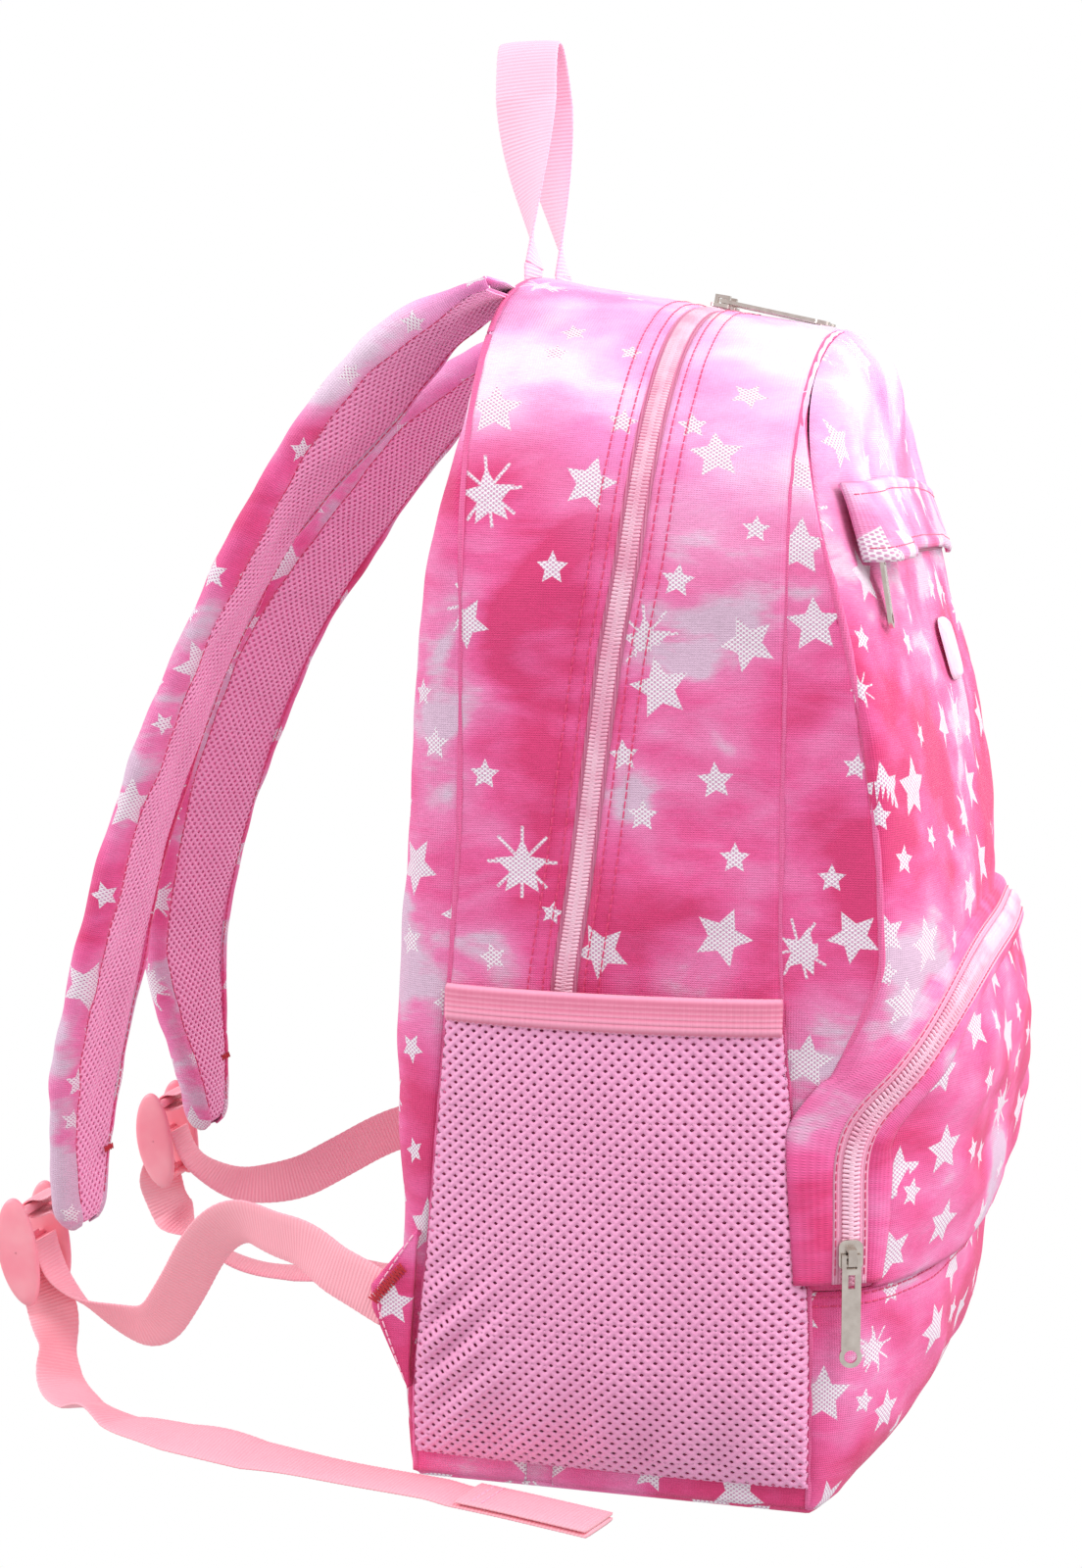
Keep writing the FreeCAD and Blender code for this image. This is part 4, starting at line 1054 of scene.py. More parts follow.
def seam_tube(m, name, depth, inset, low, body, radius=1.5):
    """Seam allowance that fills the crease where two panels meet, round the arch at a depth."""
    s = stations(low, 2.4)[0]
    y = depth(arch_point(s, 0.0)[1])
    x, z = arch_point(s, y)
    line = joined(x, y, z)
    inward = unit(np.cross(tangents(line), [0.0, 1.0, 0.0]))
    if np.sum(inward * (BAG_CENTRE - line)) < 0:
        inward = -inward
    piece = tube(name, line + inward * inset, radius, m["seam"])
    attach(piece, body)


def make_seams(m):
    seam_tube(m, "seam_rear", lambda z: back_seam(z) + 0.2, 1.7, 4.0, "bag")
    seam_tube(m, "seam_front", lambda z: front_seam(z) - 0.2, 1.7, 4.0, "front_half")
    seam_tube(m, "seam_rim", lambda z: front_rim(z) - 0.6, 2.0, 90.0, "front_half", 1.8)


def front_rim(z):
    return front_seam(z) - edge_depth(z)


def make_main_zip(m):
    """Two tapes and two rows of coil teeth, one of each on each half."""
    for name, side, body in (("rear", 1, "bag"), ("front", -1, "front_half")):
        low, high = sorted((0.3 * side, (ZIP_HALF + 1.6) * side))
        grid, cloth = arch_strip(lambda z: zip_line(z) + low, lambda z: zip_line(z) + high, ZIP_END, 8, 1.6)
        normals = outward(grid, BAG_CENTRE)
        tape = sheet_piece("zip_tape_" + name, grid - normals * 1.7, 0.6, m["tape"], cloth, offset=-1.0)
        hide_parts(name + "_zip_tape")
        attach(tape, body)
        centre = arch_strip(lambda z: zip_line(z) - 1.0, lambda z: zip_line(z) + 1.0, ZIP_END, 3, 1.4)[0]
        across = unit(centre[:, 2] - centre[:, 0]) * side
        out = outward(centre, BAG_CENTRE)[:, 1]
        shift = 0.0 if side > 0 else 0.7
        teeth = coil_teeth("zip_teeth_" + name, centre[:, 1], across, out, shift, (-0.7, -0.95), m["coil"])
        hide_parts(name + "_zip_coil")
        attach(teeth, body)


def cloth_across(surface, half, height):
    """Fine steps of x across a panel at a given height, and each one's distance along the cloth."""
    x = np.linspace(-half, half, 4001)
    return x, lengths_along(joined(x, surface(x, height)))


def panel_columns(surface, half, height, pitch):
    """Evenly spaced columns along the cloth of a panel, at a given height."""
    x, along = cloth_across(surface, half, height)
    spots = np.linspace(0, along[-1], int(along[-1] / pitch) // 2 * 2 + 1)
    return np.interp(spots, along, x), spots - along[-1] / 2


def front_grid(surface, half, low, top, rows, height, pitch=2.2, power=1.8):
    """Grid of a front or back panel and its place on the cloth. top is a function of x."""
    x, along = panel_columns(surface, half, height, pitch)
    v = 1 - (1 - np.linspace(0.0, 1.0, rows)) ** power
    z = mix(low, top(x), v[:, None])
    return joined(x, surface(x, z), z), joined(along, z)


def on_cloth(stars, surface, half, height):
    """Stars given by x on the panel, moved to their place along its cloth."""
    x, along = cloth_across(surface, half, height)
    return [(float(np.interp(s[0], x, along - along[-1] / 2)), *s[1:]) for s in stars]


def make_front_panels(m):
    grid, cloth = front_grid(front_y, HALF_WIDTH, LOWER_SEAM, lambda x: arch_height(x, FRONT_SEAM_Y) - 0.6,
                             150, WAIST)
    stars = scatter(cloth, SEED + 22, on_cloth(FRONT_STARS, front_y, HALF_WIDTH, WAIST), spacing=44.0)
    piece = panel("panel_front", grid, cloth, m["canvas_front"], stars, SEED + 3, swell=1.3, wavelength=62.0,
                  roll=0.6)[0]
    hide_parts("front_panel")
    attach(piece, "front_half")
    grid, cloth = front_grid(front_y, HALF_WIDTH, BASE_EDGE, lambda x: LOWER_SEAM - 0.4 + 0 * x, 46, 60.0,
                             power=1.0)
    stars = scatter(cloth, SEED + 23, on_cloth(UNDER_STARS, front_y, HALF_WIDTH, 60.0))
    piece, moved, normals = panel("panel_front_lower", grid, cloth, m["canvas_front"], stars, SEED + 4,
                                  swell=1.1)
    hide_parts("lower_front_panel")
    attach(piece, "front_half")
    lines = [(grid_row(moved, 1 - drop / 80.0), grid_row(normals, 1 - drop / 80.0)) for drop in (2.0, 5.5)]
    stitches("seam_stitches_lower", lines, m["stitch"], "front_half")


def make_second_gussets(m):
    """The slivers of side cloth in front of the front seam."""
    for name, side in SIDES:
        s, along = stations(BASE_EDGE, 2.0)
        x, z = arch_point(s, FRONT_SEAM_Y)
        keep = (side * x > -1.0) & (z > 92)
        x = x[keep]
        z = z[keep]
        along = along[keep] if side < 0 else along[keep][::-1]
        depth = np.maximum(edge_depth(z) + 0.8, 2.4)
        y = front_seam(z)[:, None] + 0.4 - depth[:, None] * np.linspace(0.0, 1.0, 14)
        grid = joined(x[:, None], y, z[:, None])
        fixed = FORE_STARS if side < 0 else [(u, v + 6, r, a, b) for u, v, r, a, b in FORE_STARS]
        piece = panel("gusset_fore_" + name, grid, joined(y, along[:, None]), m["canvas_bag"], fixed,
                      SEED + 6 + side, swell=0.5, roll=0.6, edges=(1, 1, 0, 0), pucker=0.25)[0]
        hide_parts("second_gusset_" + name)
        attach(piece, "front_half")


# ---- the lower pocket, its arch zip, the upper zip and the storm flap ----
def facing_front(points, lift=None):
    """Outward directions of the front panel at points, leaning up by lift."""
    x = np.clip(points[:, 0], -HALF_WIDTH + 2, HALF_WIDTH - 2)
    z = points[:, 2]
    slope_x = (front_y(x + 1, z) - front_y(x - 1, z)) / 2
    slope_z = (front_y(x, z + 1) - front_y(x, z - 1)) / 2
    out = unit(joined(slope_x, -1.0, slope_z))
    if lift is not None:
        out[:, 2] += lift
    return unit(out)


def rounded(line, reach):
    """The line with its corners rounded, by the mean of the points within reach steps."""
    padded = np.concatenate([2 * line[0] - line[reach:0:-1], line, 2 * line[-1] - line[-2:-reach - 2:-1]])
    total = np.cumsum(np.concatenate([np.zeros((1, 3)), padded]), axis=0)
    width = 2 * reach + 1
    return (total[width:] - total[:-width]) / width


def arch_line(pitch):
    """Middle line of the lower pocket's zip and the way it faces."""
    climb = np.linspace(LOWER_SEAM + 3, LOWER_SPRING, 30)
    angle = np.linspace(0.0, np.pi, 2001)[1:-1]
    u = -np.cos(angle)
    x = LOWER_HALF * np.sign(u) * np.abs(u) ** 0.62
    x = np.concatenate([np.full(30, -LOWER_HALF), x, np.full(30, LOWER_HALF)])
    z = np.concatenate([climb, lower_top(x[30:-30]), climb[::-1]])
    y = mix(front_y(x, z), lower_y(x, z), 0.5) - ARCH_PROUD
    line = resample(rounded(resample(joined(x, y, z), 1.0), 13), pitch)
    lift = 0.7 * np.maximum(0.0, (line[:, 2] - LOWER_SPRING) / (LOWER_TOP - LOWER_SPRING))
    return line, facing_front(line, lift)


def ribbon(name, line, facing, low, high, rise, material, thickness=0.8, columns=9):
    """Tape beside a line, from low to high across it, with its grid and outward directions."""
    along = tangents(line)
    across = unit(np.cross(along, facing))
    out = unit(np.cross(across, along))
    spots = np.linspace(low, high, columns)
    grid = line[:, None, :] + across[:, None, :] * spots[None, :, None] + out[:, None, :] * rise
    cloth = joined(spots, lengths_along(line)[:, None])
    return sheet_piece(name, grid, thickness, material, cloth, offset=-1.0), grid, out


def coil_row(name, line, facing, side, material, rise):
    """One row of coil teeth beside a line; side is 1 or -1 across it."""
    along = tangents(line)
    across = unit(np.cross(along, facing)) * side
    out = unit(np.cross(across, along)) * side
    shift = 0.0 if side > 0 else 0.82
    return coil_teeth(name, line, across, out, shift, (rise + 0.2, rise), material)


def close_arch(m, line, facing):
    """Turned edges of the cloth on both sides of the arch zip: from under its tape down to the panels."""
    across = unit(np.cross(tangents(line), facing))
    level = unit(across * [1.0, 0.0, 1.0])
    t = np.linspace(0.0, 1.0, 9)
    cloth = joined(t * 6.0, lengths_along(line)[:, None])
    for name, side, surface, sunk in (("inner", 1, lower_y, -0.8), ("outer", -1, front_y, 1.8)):
        top = line + across * side * (ARCH_TAPE - 0.7)
        foot = top + level * side * 5.6
        foot[:, 1] = surface(np.clip(foot[:, 0], -HALF_WIDTH, HALF_WIDTH), foot[:, 2]) + sunk
        grid = mix(top[:, None, :], foot[:, None, :], t[None, :, None])
        grid = grid + (facing * 1.3)[:, None, :] * np.sin(np.pi * t)[None, :, None]
        edge = sheet_piece("arch_edge_" + name, grid, 0.8, m["canvas_front"], cloth, [])
        if side > 0:
            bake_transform(edge)
        else:
            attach(edge, "front_half")


def make_lower_pocket(m):
    half = LOWER_HALF - LOWER_EDGE
    grid, cloth = front_grid(lower_y, half, LOWER_SEAM,
                             lambda x: lower_top(x * LOWER_HALF / half) - LOWER_EDGE, 64, 125.0, power=1.5)
    stars = scatter(cloth, SEED + 24, on_cloth(POCKET_STARS, lower_y, half, 125.0))
    piece = panel("panel_pocket", grid, cloth, m["canvas_front"], stars, SEED + 9, swell=1.6,
                  wavelength=55.0)[0]
    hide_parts("lower_pocket_panel")
    seam = np.array([0.0, -0.12, LOWER_SEAM * MM])
    hinge = ("front_half", "lower_pocket", seam, seam + np.array([0, 0, 0.012]))
    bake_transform(piece)
    line, facing = arch_line(1.8)
    close_arch(m, line, facing)
    for name, side, body in (("inner", 1, "lower_pocket"), ("outer", -1, "front_half")):
        low, high = sorted((0.3 * side, ARCH_TAPE * side))
        tape, grid, out = ribbon("arch_tape_" + name, line, facing, low, high, 0.6, m["pale_tape"])
        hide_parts("lower_zip_" + name)
        teeth_line, teeth_facing = arch_line(1.65)
        teeth = coil_row("arch_teeth_" + name, teeth_line, teeth_facing, side, m["coil"], 1.1)
        rows = [(grid_line(grid, 0.84 if side > 0 else 0.16), out)]
        if body == "front_half":
            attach(tape, body)
            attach(teeth, body)
            stitches("arch_stitches_" + name, rows, m["stitch"], body, radius=0.22, lift=0.2)
        else:
            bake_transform(tape)
            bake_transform(teeth)
            stitches("arch_stitches_" + name, rows, m["stitch"], body, radius=0.22, lift=0.2, rides=hinge)


def make_upper_zip(m):
    x = panel_columns(front_y, UPPER_HALF, UPPER_ZIP, 1.8)[0]
    line = joined(x, front_y(x, UPPER_ZIP) - 0.8, UPPER_ZIP)
    tape = ribbon("upper_tape", line, facing_front(line), -8.5, 8.5, 0.7, m["tape"])[0]
    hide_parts("upper_zip_tape")
    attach(tape, "front_half")
    x = panel_columns(front_y, UPPER_HALF - 3.0, UPPER_ZIP, 1.65)[0]
    line = joined(x, front_y(x, UPPER_ZIP) - 1.2, UPPER_ZIP)
    facing = facing_front(line)
    for name, side in (("low", 1), ("high", -1)):
        teeth = coil_row("upper_teeth_" + name, line, facing, side, m["coil"], 0.8)
        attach(teeth, "front_half")
        if side > 0:
            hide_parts("upper_zip_coil")


def make_flap(m):
    """Storm flap over the upper zip. It stands off where the slider runs and lies down at its ends."""
    x, along = panel_columns(front_y, FLAP_HALF, 358.0, 1.7)
    t = np.linspace(0.0, 1.0, 22)
    z = FLAP_TOP - FLAP_HEIGHT * t[:, None] - 4.0 * (x / FLAP_HALF) ** 2
    clear = ease(x, -127.5, -120.0) * (1 - ease(x, -92.0, -62.0))
    reach = mix(4.6, 12.4, clear) * ease(x, -131.0, -122.0)
    grid = joined(x, front_y(x, z) - mix(1.5, reach, np.sqrt(t)[:, None]), z)
    normals = outward(grid, BAG_CENTRE)
    rim = np.minimum(np.minimum(t, 1 - t)[:, None] * FLAP_HEIGHT, FLAP_HALF - np.abs(x))
    rise = 0.55 * np.exp(-((rim - 2.2) / 1.3) ** 2) - 0.7 * np.exp(-rim / 0.6)
    rise = rise + 0.35 * ripples(grid, 40.0, SEED + 31)
    moved = grid + normals * rise[..., None]
    cloth = joined(along, z + 60.0)
    flap = sheet_piece("flap_cover", moved, 1.3, m["canvas_front"], cloth, scatter(cloth, SEED + 33))
    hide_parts("storm_flap")
    hinge = ("front_half", "flap", (0, -0.09, 0.3706), (0, -0.09, 0.3660))
    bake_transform(flap)
    rows = [(grid_row(moved + normals * 0.6, k), grid_row(normals, k)) for k in (0.16, 0.84)]
    stitches("flap_stitches", rows, m["stitch"], "flap", radius=0.22, rides=hinge)


def make_badge(m):
    """Blank moulded plate with rounded corners and a raised rim."""
    turn = np.linspace(0, 2 * np.pi, 64, endpoint=False)
    share = np.concatenate([np.linspace(0.02, 0.8, 8), np.linspace(0.86, 1.0, 7)])
    c = np.cos(turn)
    s = np.sin(turn)
    px = 16.0 * np.sign(c) * np.abs(c) ** 0.45 * share[:, None]
    pz = 304.0 + 12.2 * np.sign(s) * np.abs(s) ** 0.45 * share[:, None]
    dome = 1.9 * np.sqrt(np.maximum(1 - share ** 10, 0.0))[:, None]
    rim = 0.5 * np.exp(-((share - 0.84) / 0.05) ** 2)[:, None]
    points = joined(px, front_y(px, pz) - 0.5 - dome - rim, pz)
    centre = np.arange(64)[None, ::-1]
    plate = new_piece("badge_plate", points, [grid_faces(len(share), 64, wrap=True), centre], m["badge"])
    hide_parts("badge")
    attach(plate, "front_half")


# ---- nets ----
def net_cells(low, high, pitch, step, hole):
    """Diamond cells of a knitted net over a rectangle, as points (u, v), each one's height and quads.

    Height is 1 on the strands and 0 at the holes' edges; hole is a hole's half sizes."""
    rows = np.arange(int(low[1] / step) - 1, int(high[1] / step) + 2)
    columns = np.arange(int(low[0] / pitch) - 2, int(high[0] / pitch) + 3)
    shift = (rows % 2)[:, None] * 0.5
    cu = ((columns[None, :] + shift) * pitch).ravel()
    cv = np.broadcast_to((rows * step)[:, None], (len(rows), len(columns))).ravel()
    inside = ((cu > low[0] - pitch * 0.3) & (cu < high[0] + pitch * 0.3)
              & (cv > low[1] - step * 0.5) & (cv < high[1] + step * 0.5))
    cu = cu[inside]
    cv = cv[inside]
    corners = np.array([(1, 0), (0, 1), (-1, 0), (0, -1), (1, 0)], float)
    border = np.concatenate([mix(corners[k], corners[k + 1], np.arange(3)[:, None] / 3) for k in range(4)])
    turn = np.arctan2(border[:, 1], border[:, 0])
    border = border * (pitch / 2, step)
    ring = joined(np.cos(turn) * hole[0], np.sin(turn) * hole[1])
    centres = joined(cu, cv)[:, None, :]
    outer = (centres + border[None]).reshape(-1, 2)
    inner = (centres + ring[None]).reshape(-1, 2)
    spots = np.round(outer * 50).astype(int)
    first, index = np.unique(spots, axis=0, return_index=True, return_inverse=True)[1:]
    index = index.ravel().reshape(-1, 12)
    outer = outer[first]
    inner_index = len(outer) + np.arange(len(inner)).reshape(-1, 12)
    quads = joined(index, np.roll(index, -1, axis=1), np.roll(inner_index, -1, axis=1), inner_index)
    points = np.concatenate([outer, inner])
    height = np.concatenate([np.ones(len(outer)), np.zeros(len(inner))])
    points = np.clip(points, low, high)
    return points, height, quads.reshape(-1, 4)


def pocket_surface(side, y, z):
    """Distance from the middle of a side pocket's mesh, with its gathers and sway."""
    fold = np.exp(-np.maximum(z - POCKET_FLOOR, 0) / 20.0) * ease(z, POCKET_FLOOR, 22.0)
    low_fold = 2.2 * fold * np.sin(y * 2 * np.pi / 27.0 + 0.08 * z + 1.3 * side)
    sway = 0.9 * ripples(joined(y, z, 40.0 * side), 55.0, SEED + 40 + side)
    sway = sway * ease(z, 16.0, 50.0) * (1 - ease(z, 150, 176))
    corner = 1.6 * np.exp(-((y - 62) / 20) ** 2 - ((z - 60) / 26) ** 2) * np.sin((y + z) * 2 * np.pi / 17.0)
    gap = pocket_gap(y, z)
    return side * (HALF_WIDTH + gap + (low_fold + sway + corner) * ease(gap, 1.0, 6.0))


def pocket_net(m, name, side):
    """Knitted strands of a side pocket."""
    top = POCKET_TOP - ELASTIC_HEIGHT + 1.0
    uv, height, quads = net_cells((-72.0, POCKET_FLOOR), (80.0, top), 4.75, 2.15, (0.98, 0.74))
    y, z = uv.T
    front = front_seam(z) + 0.5
    back = back_seam(z) - 1.0
    kept = (y[quads] > front[quads] - 2.4).all(axis=1) & (y[quads] < back[quads] + 2.4).all(axis=1)
    y = np.clip(y, front, back)
    points = joined(pocket_surface(side, y, z) + side * (height * 0.32 - 0.1), y, z)
    used, quads = np.unique(quads[kept], return_inverse=True)
    quads = quads.reshape(-1, 4)
    net = new_piece("pocket_net_" + name, points[used], quads if side < 0 else quads[:, ::-1], m["net"])
    thicken(net, 0.75)
    return net


def pocket_elastic(m, name, side):
    """Ribbed, slightly gathered elastic along a side pocket's top."""
    profile = np.linspace(0.0, ELASTIC_HEIGHT, 45)
    y = np.arange(front_seam(POCKET_TOP) + 0.2, back_seam(POCKET_TOP) - 0.4, 0.7)[:, None]
    z = POCKET_TOP - ELASTIC_HEIGHT + profile
    ribs = 0.28 * np.abs(np.sin(profile * np.pi / 2.2)) ** 0.7
    edge = -0.8 * np.exp(-np.minimum(profile, ELASTIC_HEIGHT - profile) / 0.5)
    gather = 0.12 * np.sin(y * 2 * np.pi / 2.3)
    grid = joined(side * (HALF_WIDTH + pocket_gap(y, z) + 0.7 + ribs + edge + gather), y, z)
    elastic = sheet_piece("pocket_elastic_" + name, grid, 1.6, m["elastic"], joined(y, z), offset=-1.0,
                          turned=side < 0)
    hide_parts("side_pocket_elastic_" + name)
    return elastic, y[:, 0]


def make_side_pockets(m):
    for name, side in SIDES:
        net = pocket_net(m, name, side)
        z = np.linspace(POCKET_FLOOR, POCKET_TOP, 90)[:, None]
        y = mix(front_seam(z) + 0.5, back_seam(z) - 1.0, np.linspace(0, 1, 70))
        z = np.broadcast_to(z, y.shape)
        grid = joined(pocket_surface(side, y, z) - side * 1.3, y, z)
        backing = sheet_piece("pocket_backing_" + name, grid, 0.4, m["padding"], joined(y, z))
        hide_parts("side_pocket_mesh_" + name)
        elastic, y = pocket_elastic(m, name, side)
        low = POCKET_TOP - ELASTIC_HEIGHT
        line = joined(side * (HALF_WIDTH + pocket_gap(y, low) + 0.9), y, low - 0.5)
        hem = tube("pocket_hem_" + name, line[::2], 0.75, m["pale_tape"])
        bend = ("bag", "front_half", (0, 0.05, 0.1), (0, -0.055, 0.1))
        rows = [(line + [side * 0.35, 0, 2.3], np.array([[side, 0.0, 0.0]]))]
        thread_piece = stitches("pocket_stitches_" + name, rows, m["stitch"], None, radius=0.3, pitch=3.0,
                                rides=bend)
        for piece in (net, backing, elastic, hem):
            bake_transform(piece)


# ---- straps ----
def smooth_line(points, count=400):
    """Smooth line through points."""
    along = lengths_along(points)
    spots = np.linspace(0, along[-1], count)
    return np.stack([smooth(list(zip(along, column)))(spots) for column in points.T], axis=1)


def strap_frame(path, x, twist, pitch):
    """Middle line of a strap, its width direction, its outer direction and each row's share of its length."""
    path = np.array(path, float)
    y, z = smooth_line(path, 1200).T
    line = resample(joined(x, y, z), pitch)
    share = np.linspace(0, 1, len(line))
    turn = np.radians(twist(share))
    run = tangents(line)
    across = squared(joined(np.cos(turn), np.sin(turn), 0.0), run)
    return line, across, unit(np.cross(across, run)), share


def left_twist(share):
    """Degrees that the left strap's outer side turns away from the back along its length."""
    slow = 5.0 * np.sin(np.pi * np.minimum(share / 0.75, 1.0)) ** 0.8
    return slow - 17.0 * np.exp(-((share - 0.17) / 0.11) ** 2)


def right_twist(share):
    return -24.0 * np.sin(np.pi * np.minimum(share / 0.95, 1.0)) ** 0.8


def strap_width(share):
    return mix(STRAP_WIDTH, 30.0, np.maximum((share - 0.8) / 0.2, 0.0) ** 1.6)


def strap_section():
    """Points round the cover's section: shares of the half width, half thickness, and millimetres across."""
    rows = [(-1, 0, TURNED_IN, -0.86), (-1, 0, TURNED_IN * 0.7, -0.93), (-1, 0, TURNED_IN * 0.35, -0.99)]
    for angle in np.radians(np.linspace(-90, -270, 11)):
        rows.append((-1, math.cos(angle), 0, math.sin(angle)))
    for k in np.linspace(-1, 1, 22)[1:-1]:
        rows.append((k, 0, 0, 1 + 0.10 * (1 - k ** 4)))
    for angle in np.radians(np.linspace(90, -90, 11)):
        rows.append((1, math.cos(angle), 0, math.sin(angle)))
    rows += [(1, 0, -TURNED_IN * 0.35, -0.99), (1, 0, -TURNED_IN * 0.7, -0.93), (1, 0, -TURNED_IN, -0.86)]
    return np.array(rows)


def make_strap(m, name, x, path, twist, seed):
    """A padded strap: canvas cover, net and core on its inner side, bartack and edge stitches."""
    line, across, out, share = strap_frame(path, x, twist, 2.0)
    length = lengths_along(line)
    total = length[-1]
    body = "strap_" + name
    thin = np.minimum(1.0, 0.45 + 0.55 * ease(share, 0.0, 0.08))
    closing = np.sqrt(np.maximum(1 - np.clip((length - total + 9.0) / 9.0, 0.0, 1.0) ** 2.2, 0.0))
    half_thick = STRAP_THICK / 2 * thin * (0.22 + 0.78 * closing)
    round_end = np.sqrt(np.maximum(1 - np.clip((length - total + 12.0) / 12.4, 0.0, 1.0) ** 2, 0.0))
    half_flat = np.maximum(strap_width(share) / 2 * (0.45 + 0.55 * round_end) - half_thick, 1.5)
    section = strap_section()
    u = (section[None, :, 0] * half_flat[:, None] + section[None, :, 1] * half_thick[:, None]
         + section[None, :, 2] * np.minimum(1.0, half_flat / 8.0)[:, None])
    n = section[None, :, 3] * half_thick[:, None]
    grid = line[:, None, :] + across[:, None, :] * u[..., None] + out[:, None, :] * n[..., None]
    section_length = lengths_along(joined(u[40], n[40]))
    cloth = joined(section_length, length[:, None])
    normals = grid_normals(grid)
    if np.sum(normals[:, 30] * out) < 0:
        normals = -normals
    swell = 0.55 * ripples(grid, 34.0, seed) + 0.25 * ripples(grid, 14.0, seed + 1)
    moved = grid + normals * swell[..., None]
    faces = grid_faces(*u.shape)
    if np.dot(np.cross(grid[60, 31] - grid[60, 30], grid[61, 31] - grid[60, 31]), out[60]) < 0:
        faces = faces[:, ::-1]
    stars = scatter(cloth, seed + 2, spacing=30.0)
    cover = new_piece("strap_canvas_" + name, moved, faces, m["canvas_strap"], cloth, stars)
    thicken(cover, 0.9)
    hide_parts("strap_cover_" + name)
    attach(cover, body)

    limit = half_flat - TURNED_IN * np.minimum(1.0, half_flat / 8.0) + 1.2
    uv, height, quads = net_cells((-30.0, 2.0), (30.0, total - 5.0), 4.1, 1.95, (0.9, 0.68))
    edge = np.interp(uv[:, 1], length, limit)
    kept = (np.abs(uv[:, 0])[quads] < edge[quads] + 2.1).all(axis=1)
    used, quads = np.unique(quads[kept], return_inverse=True)
    quads = quads.reshape(-1, 4)
    side = np.clip(uv[:, 0], -edge, edge)[used]

    def inner_point(side, spot, drop):
        base, a, o = (line_at(spot, length, vectors) for vectors in (line, across, out))
        thick = np.interp(spot, length, half_thick)
        wide = np.interp(spot, length, limit)
        puff = 1.1 * (1 - np.clip(np.abs(side) / wide, 0, 1) ** 4) * np.minimum(thick / 4.0, 1.0)
        wave = 0.5 * ripples(base + a * side[..., None], 30.0, seed + 4)
        return base + a * side[..., None] - o * (thick * 0.84 + puff - drop + wave * puff)[..., None]

    points = inner_point(side, uv[used, 1], 0.1 - height[used] * 0.3)
    # The strap's net uses the lighter copy of the air mesh, which has painted light in its colour.
    net = new_piece("strap_net_" + name, points, quads, m["net_strap"])
    a, b, c = points[quads[len(quads) // 2][:3]]
    if np.dot(np.cross(b - a, c - b), -out[int(len(out) / 2)]) < 0:
        net.data.flip_normals()
    thicken(net, 0.7)
    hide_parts("strap_mesh_" + name)
    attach(net, body)
    spots = np.linspace(1.0, total - 3.0, 160)
    sides = (np.interp(spots, length, limit) + 0.6)[:, None] * np.linspace(-1, 1, 24)
    grid = inner_point(sides, np.broadcast_to(spots[:, None], sides.shape), 1.0)
    # The strap's core uses the lighter copy of the padding, which has painted light in its colour.
    core = sheet_piece("strap_core_" + name, grid, 0.5, m["strap_padding_painted_light"], None)
    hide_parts("strap_foam_" + name)
    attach(core, body)

    spot = int(np.argmin(np.abs(length - (total - TACK_RISE))))
    middle = line[spot] - out[spot] * (half_thick[spot] + 0.8)
    run = tangents(line)[spot]
    zig = np.array([middle + across[spot] * (9.0 + 0.9 * k) - run * 1.1 * (-1) ** k for k in range(10)])
    tack = rods("strap_tack_" + name, zig[:-1], zig[1:], 0.36, m["red_thread"])
    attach(tack, body)

    keep = (share > 0.02) & (length < total - 8)
    rows = [(moved[keep, k] - out[keep] * 0.1, -out[keep]) for k in (1, len(section) - 2)]
    stitches("strap_stitches_" + name, rows, m["stitch"], body, radius=0.25, lift=0.25)


def make_straps(m):
    ends = (("left", -STRAP_X, STRAP_PATH_LEFT, left_twist, LOCK_LEFT, 60),
            ("right", STRAP_X, STRAP_PATH_RIGHT, right_twist, LOCK_RIGHT, 66))
    for name, x, path, twist, lock, seed in ends:
        make_strap(m, name, x, path, twist, seed)
        y, z = lock[1:]
        bend = [(-12.0, 12), (-10.5, 7), (-6, 4.2), (0, 3.4), (3.4, 0), (0, -3.4), (-6, -2.4), (-10.0, -1.0),
                (-12.4, -4)]
        route = np.array([(x, y + dy, z + dz) for dy, dz in bend], float)
        route = resample(smooth_line(route), 0.6)
        loop = web_piece("lock_strap_" + name, route, level_width(route), m["webbing"], thick=1.3)
        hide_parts("lock_loop_" + name)
        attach(loop, "strap_" + name)


# ---- handle, tabs, back, base and what is inside ----
def make_handle(m):
    line = resample(line_of("line", HANDLE_ROUTE), 0.5)
    share = 1 - np.abs(2 * np.linspace(0, 1, len(line)) - 1)
    turn = np.radians(90) * np.minimum(share / 0.7, 1.0)
    across = squared(joined(np.cos(turn), np.sin(turn), 0.0), tangents(line))
    strip = web_piece("handle_webbing_loop", line, across, m["handle"], width=HANDLE_WIDTH, rib=1.5, curl=0.5)
    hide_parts("grab_handle")
    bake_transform(strip)
    for name, side in SIDES:
        line = joined(24.0 * side, 64.6, np.linspace(428.5, 454.6, 60))
        root = web_piece("handle_root_" + name, line, level_width(line), m["handle"], width=HANDLE_WIDTH)
        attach(root, "bag")
        if name == "left":
            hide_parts("handle_ends")


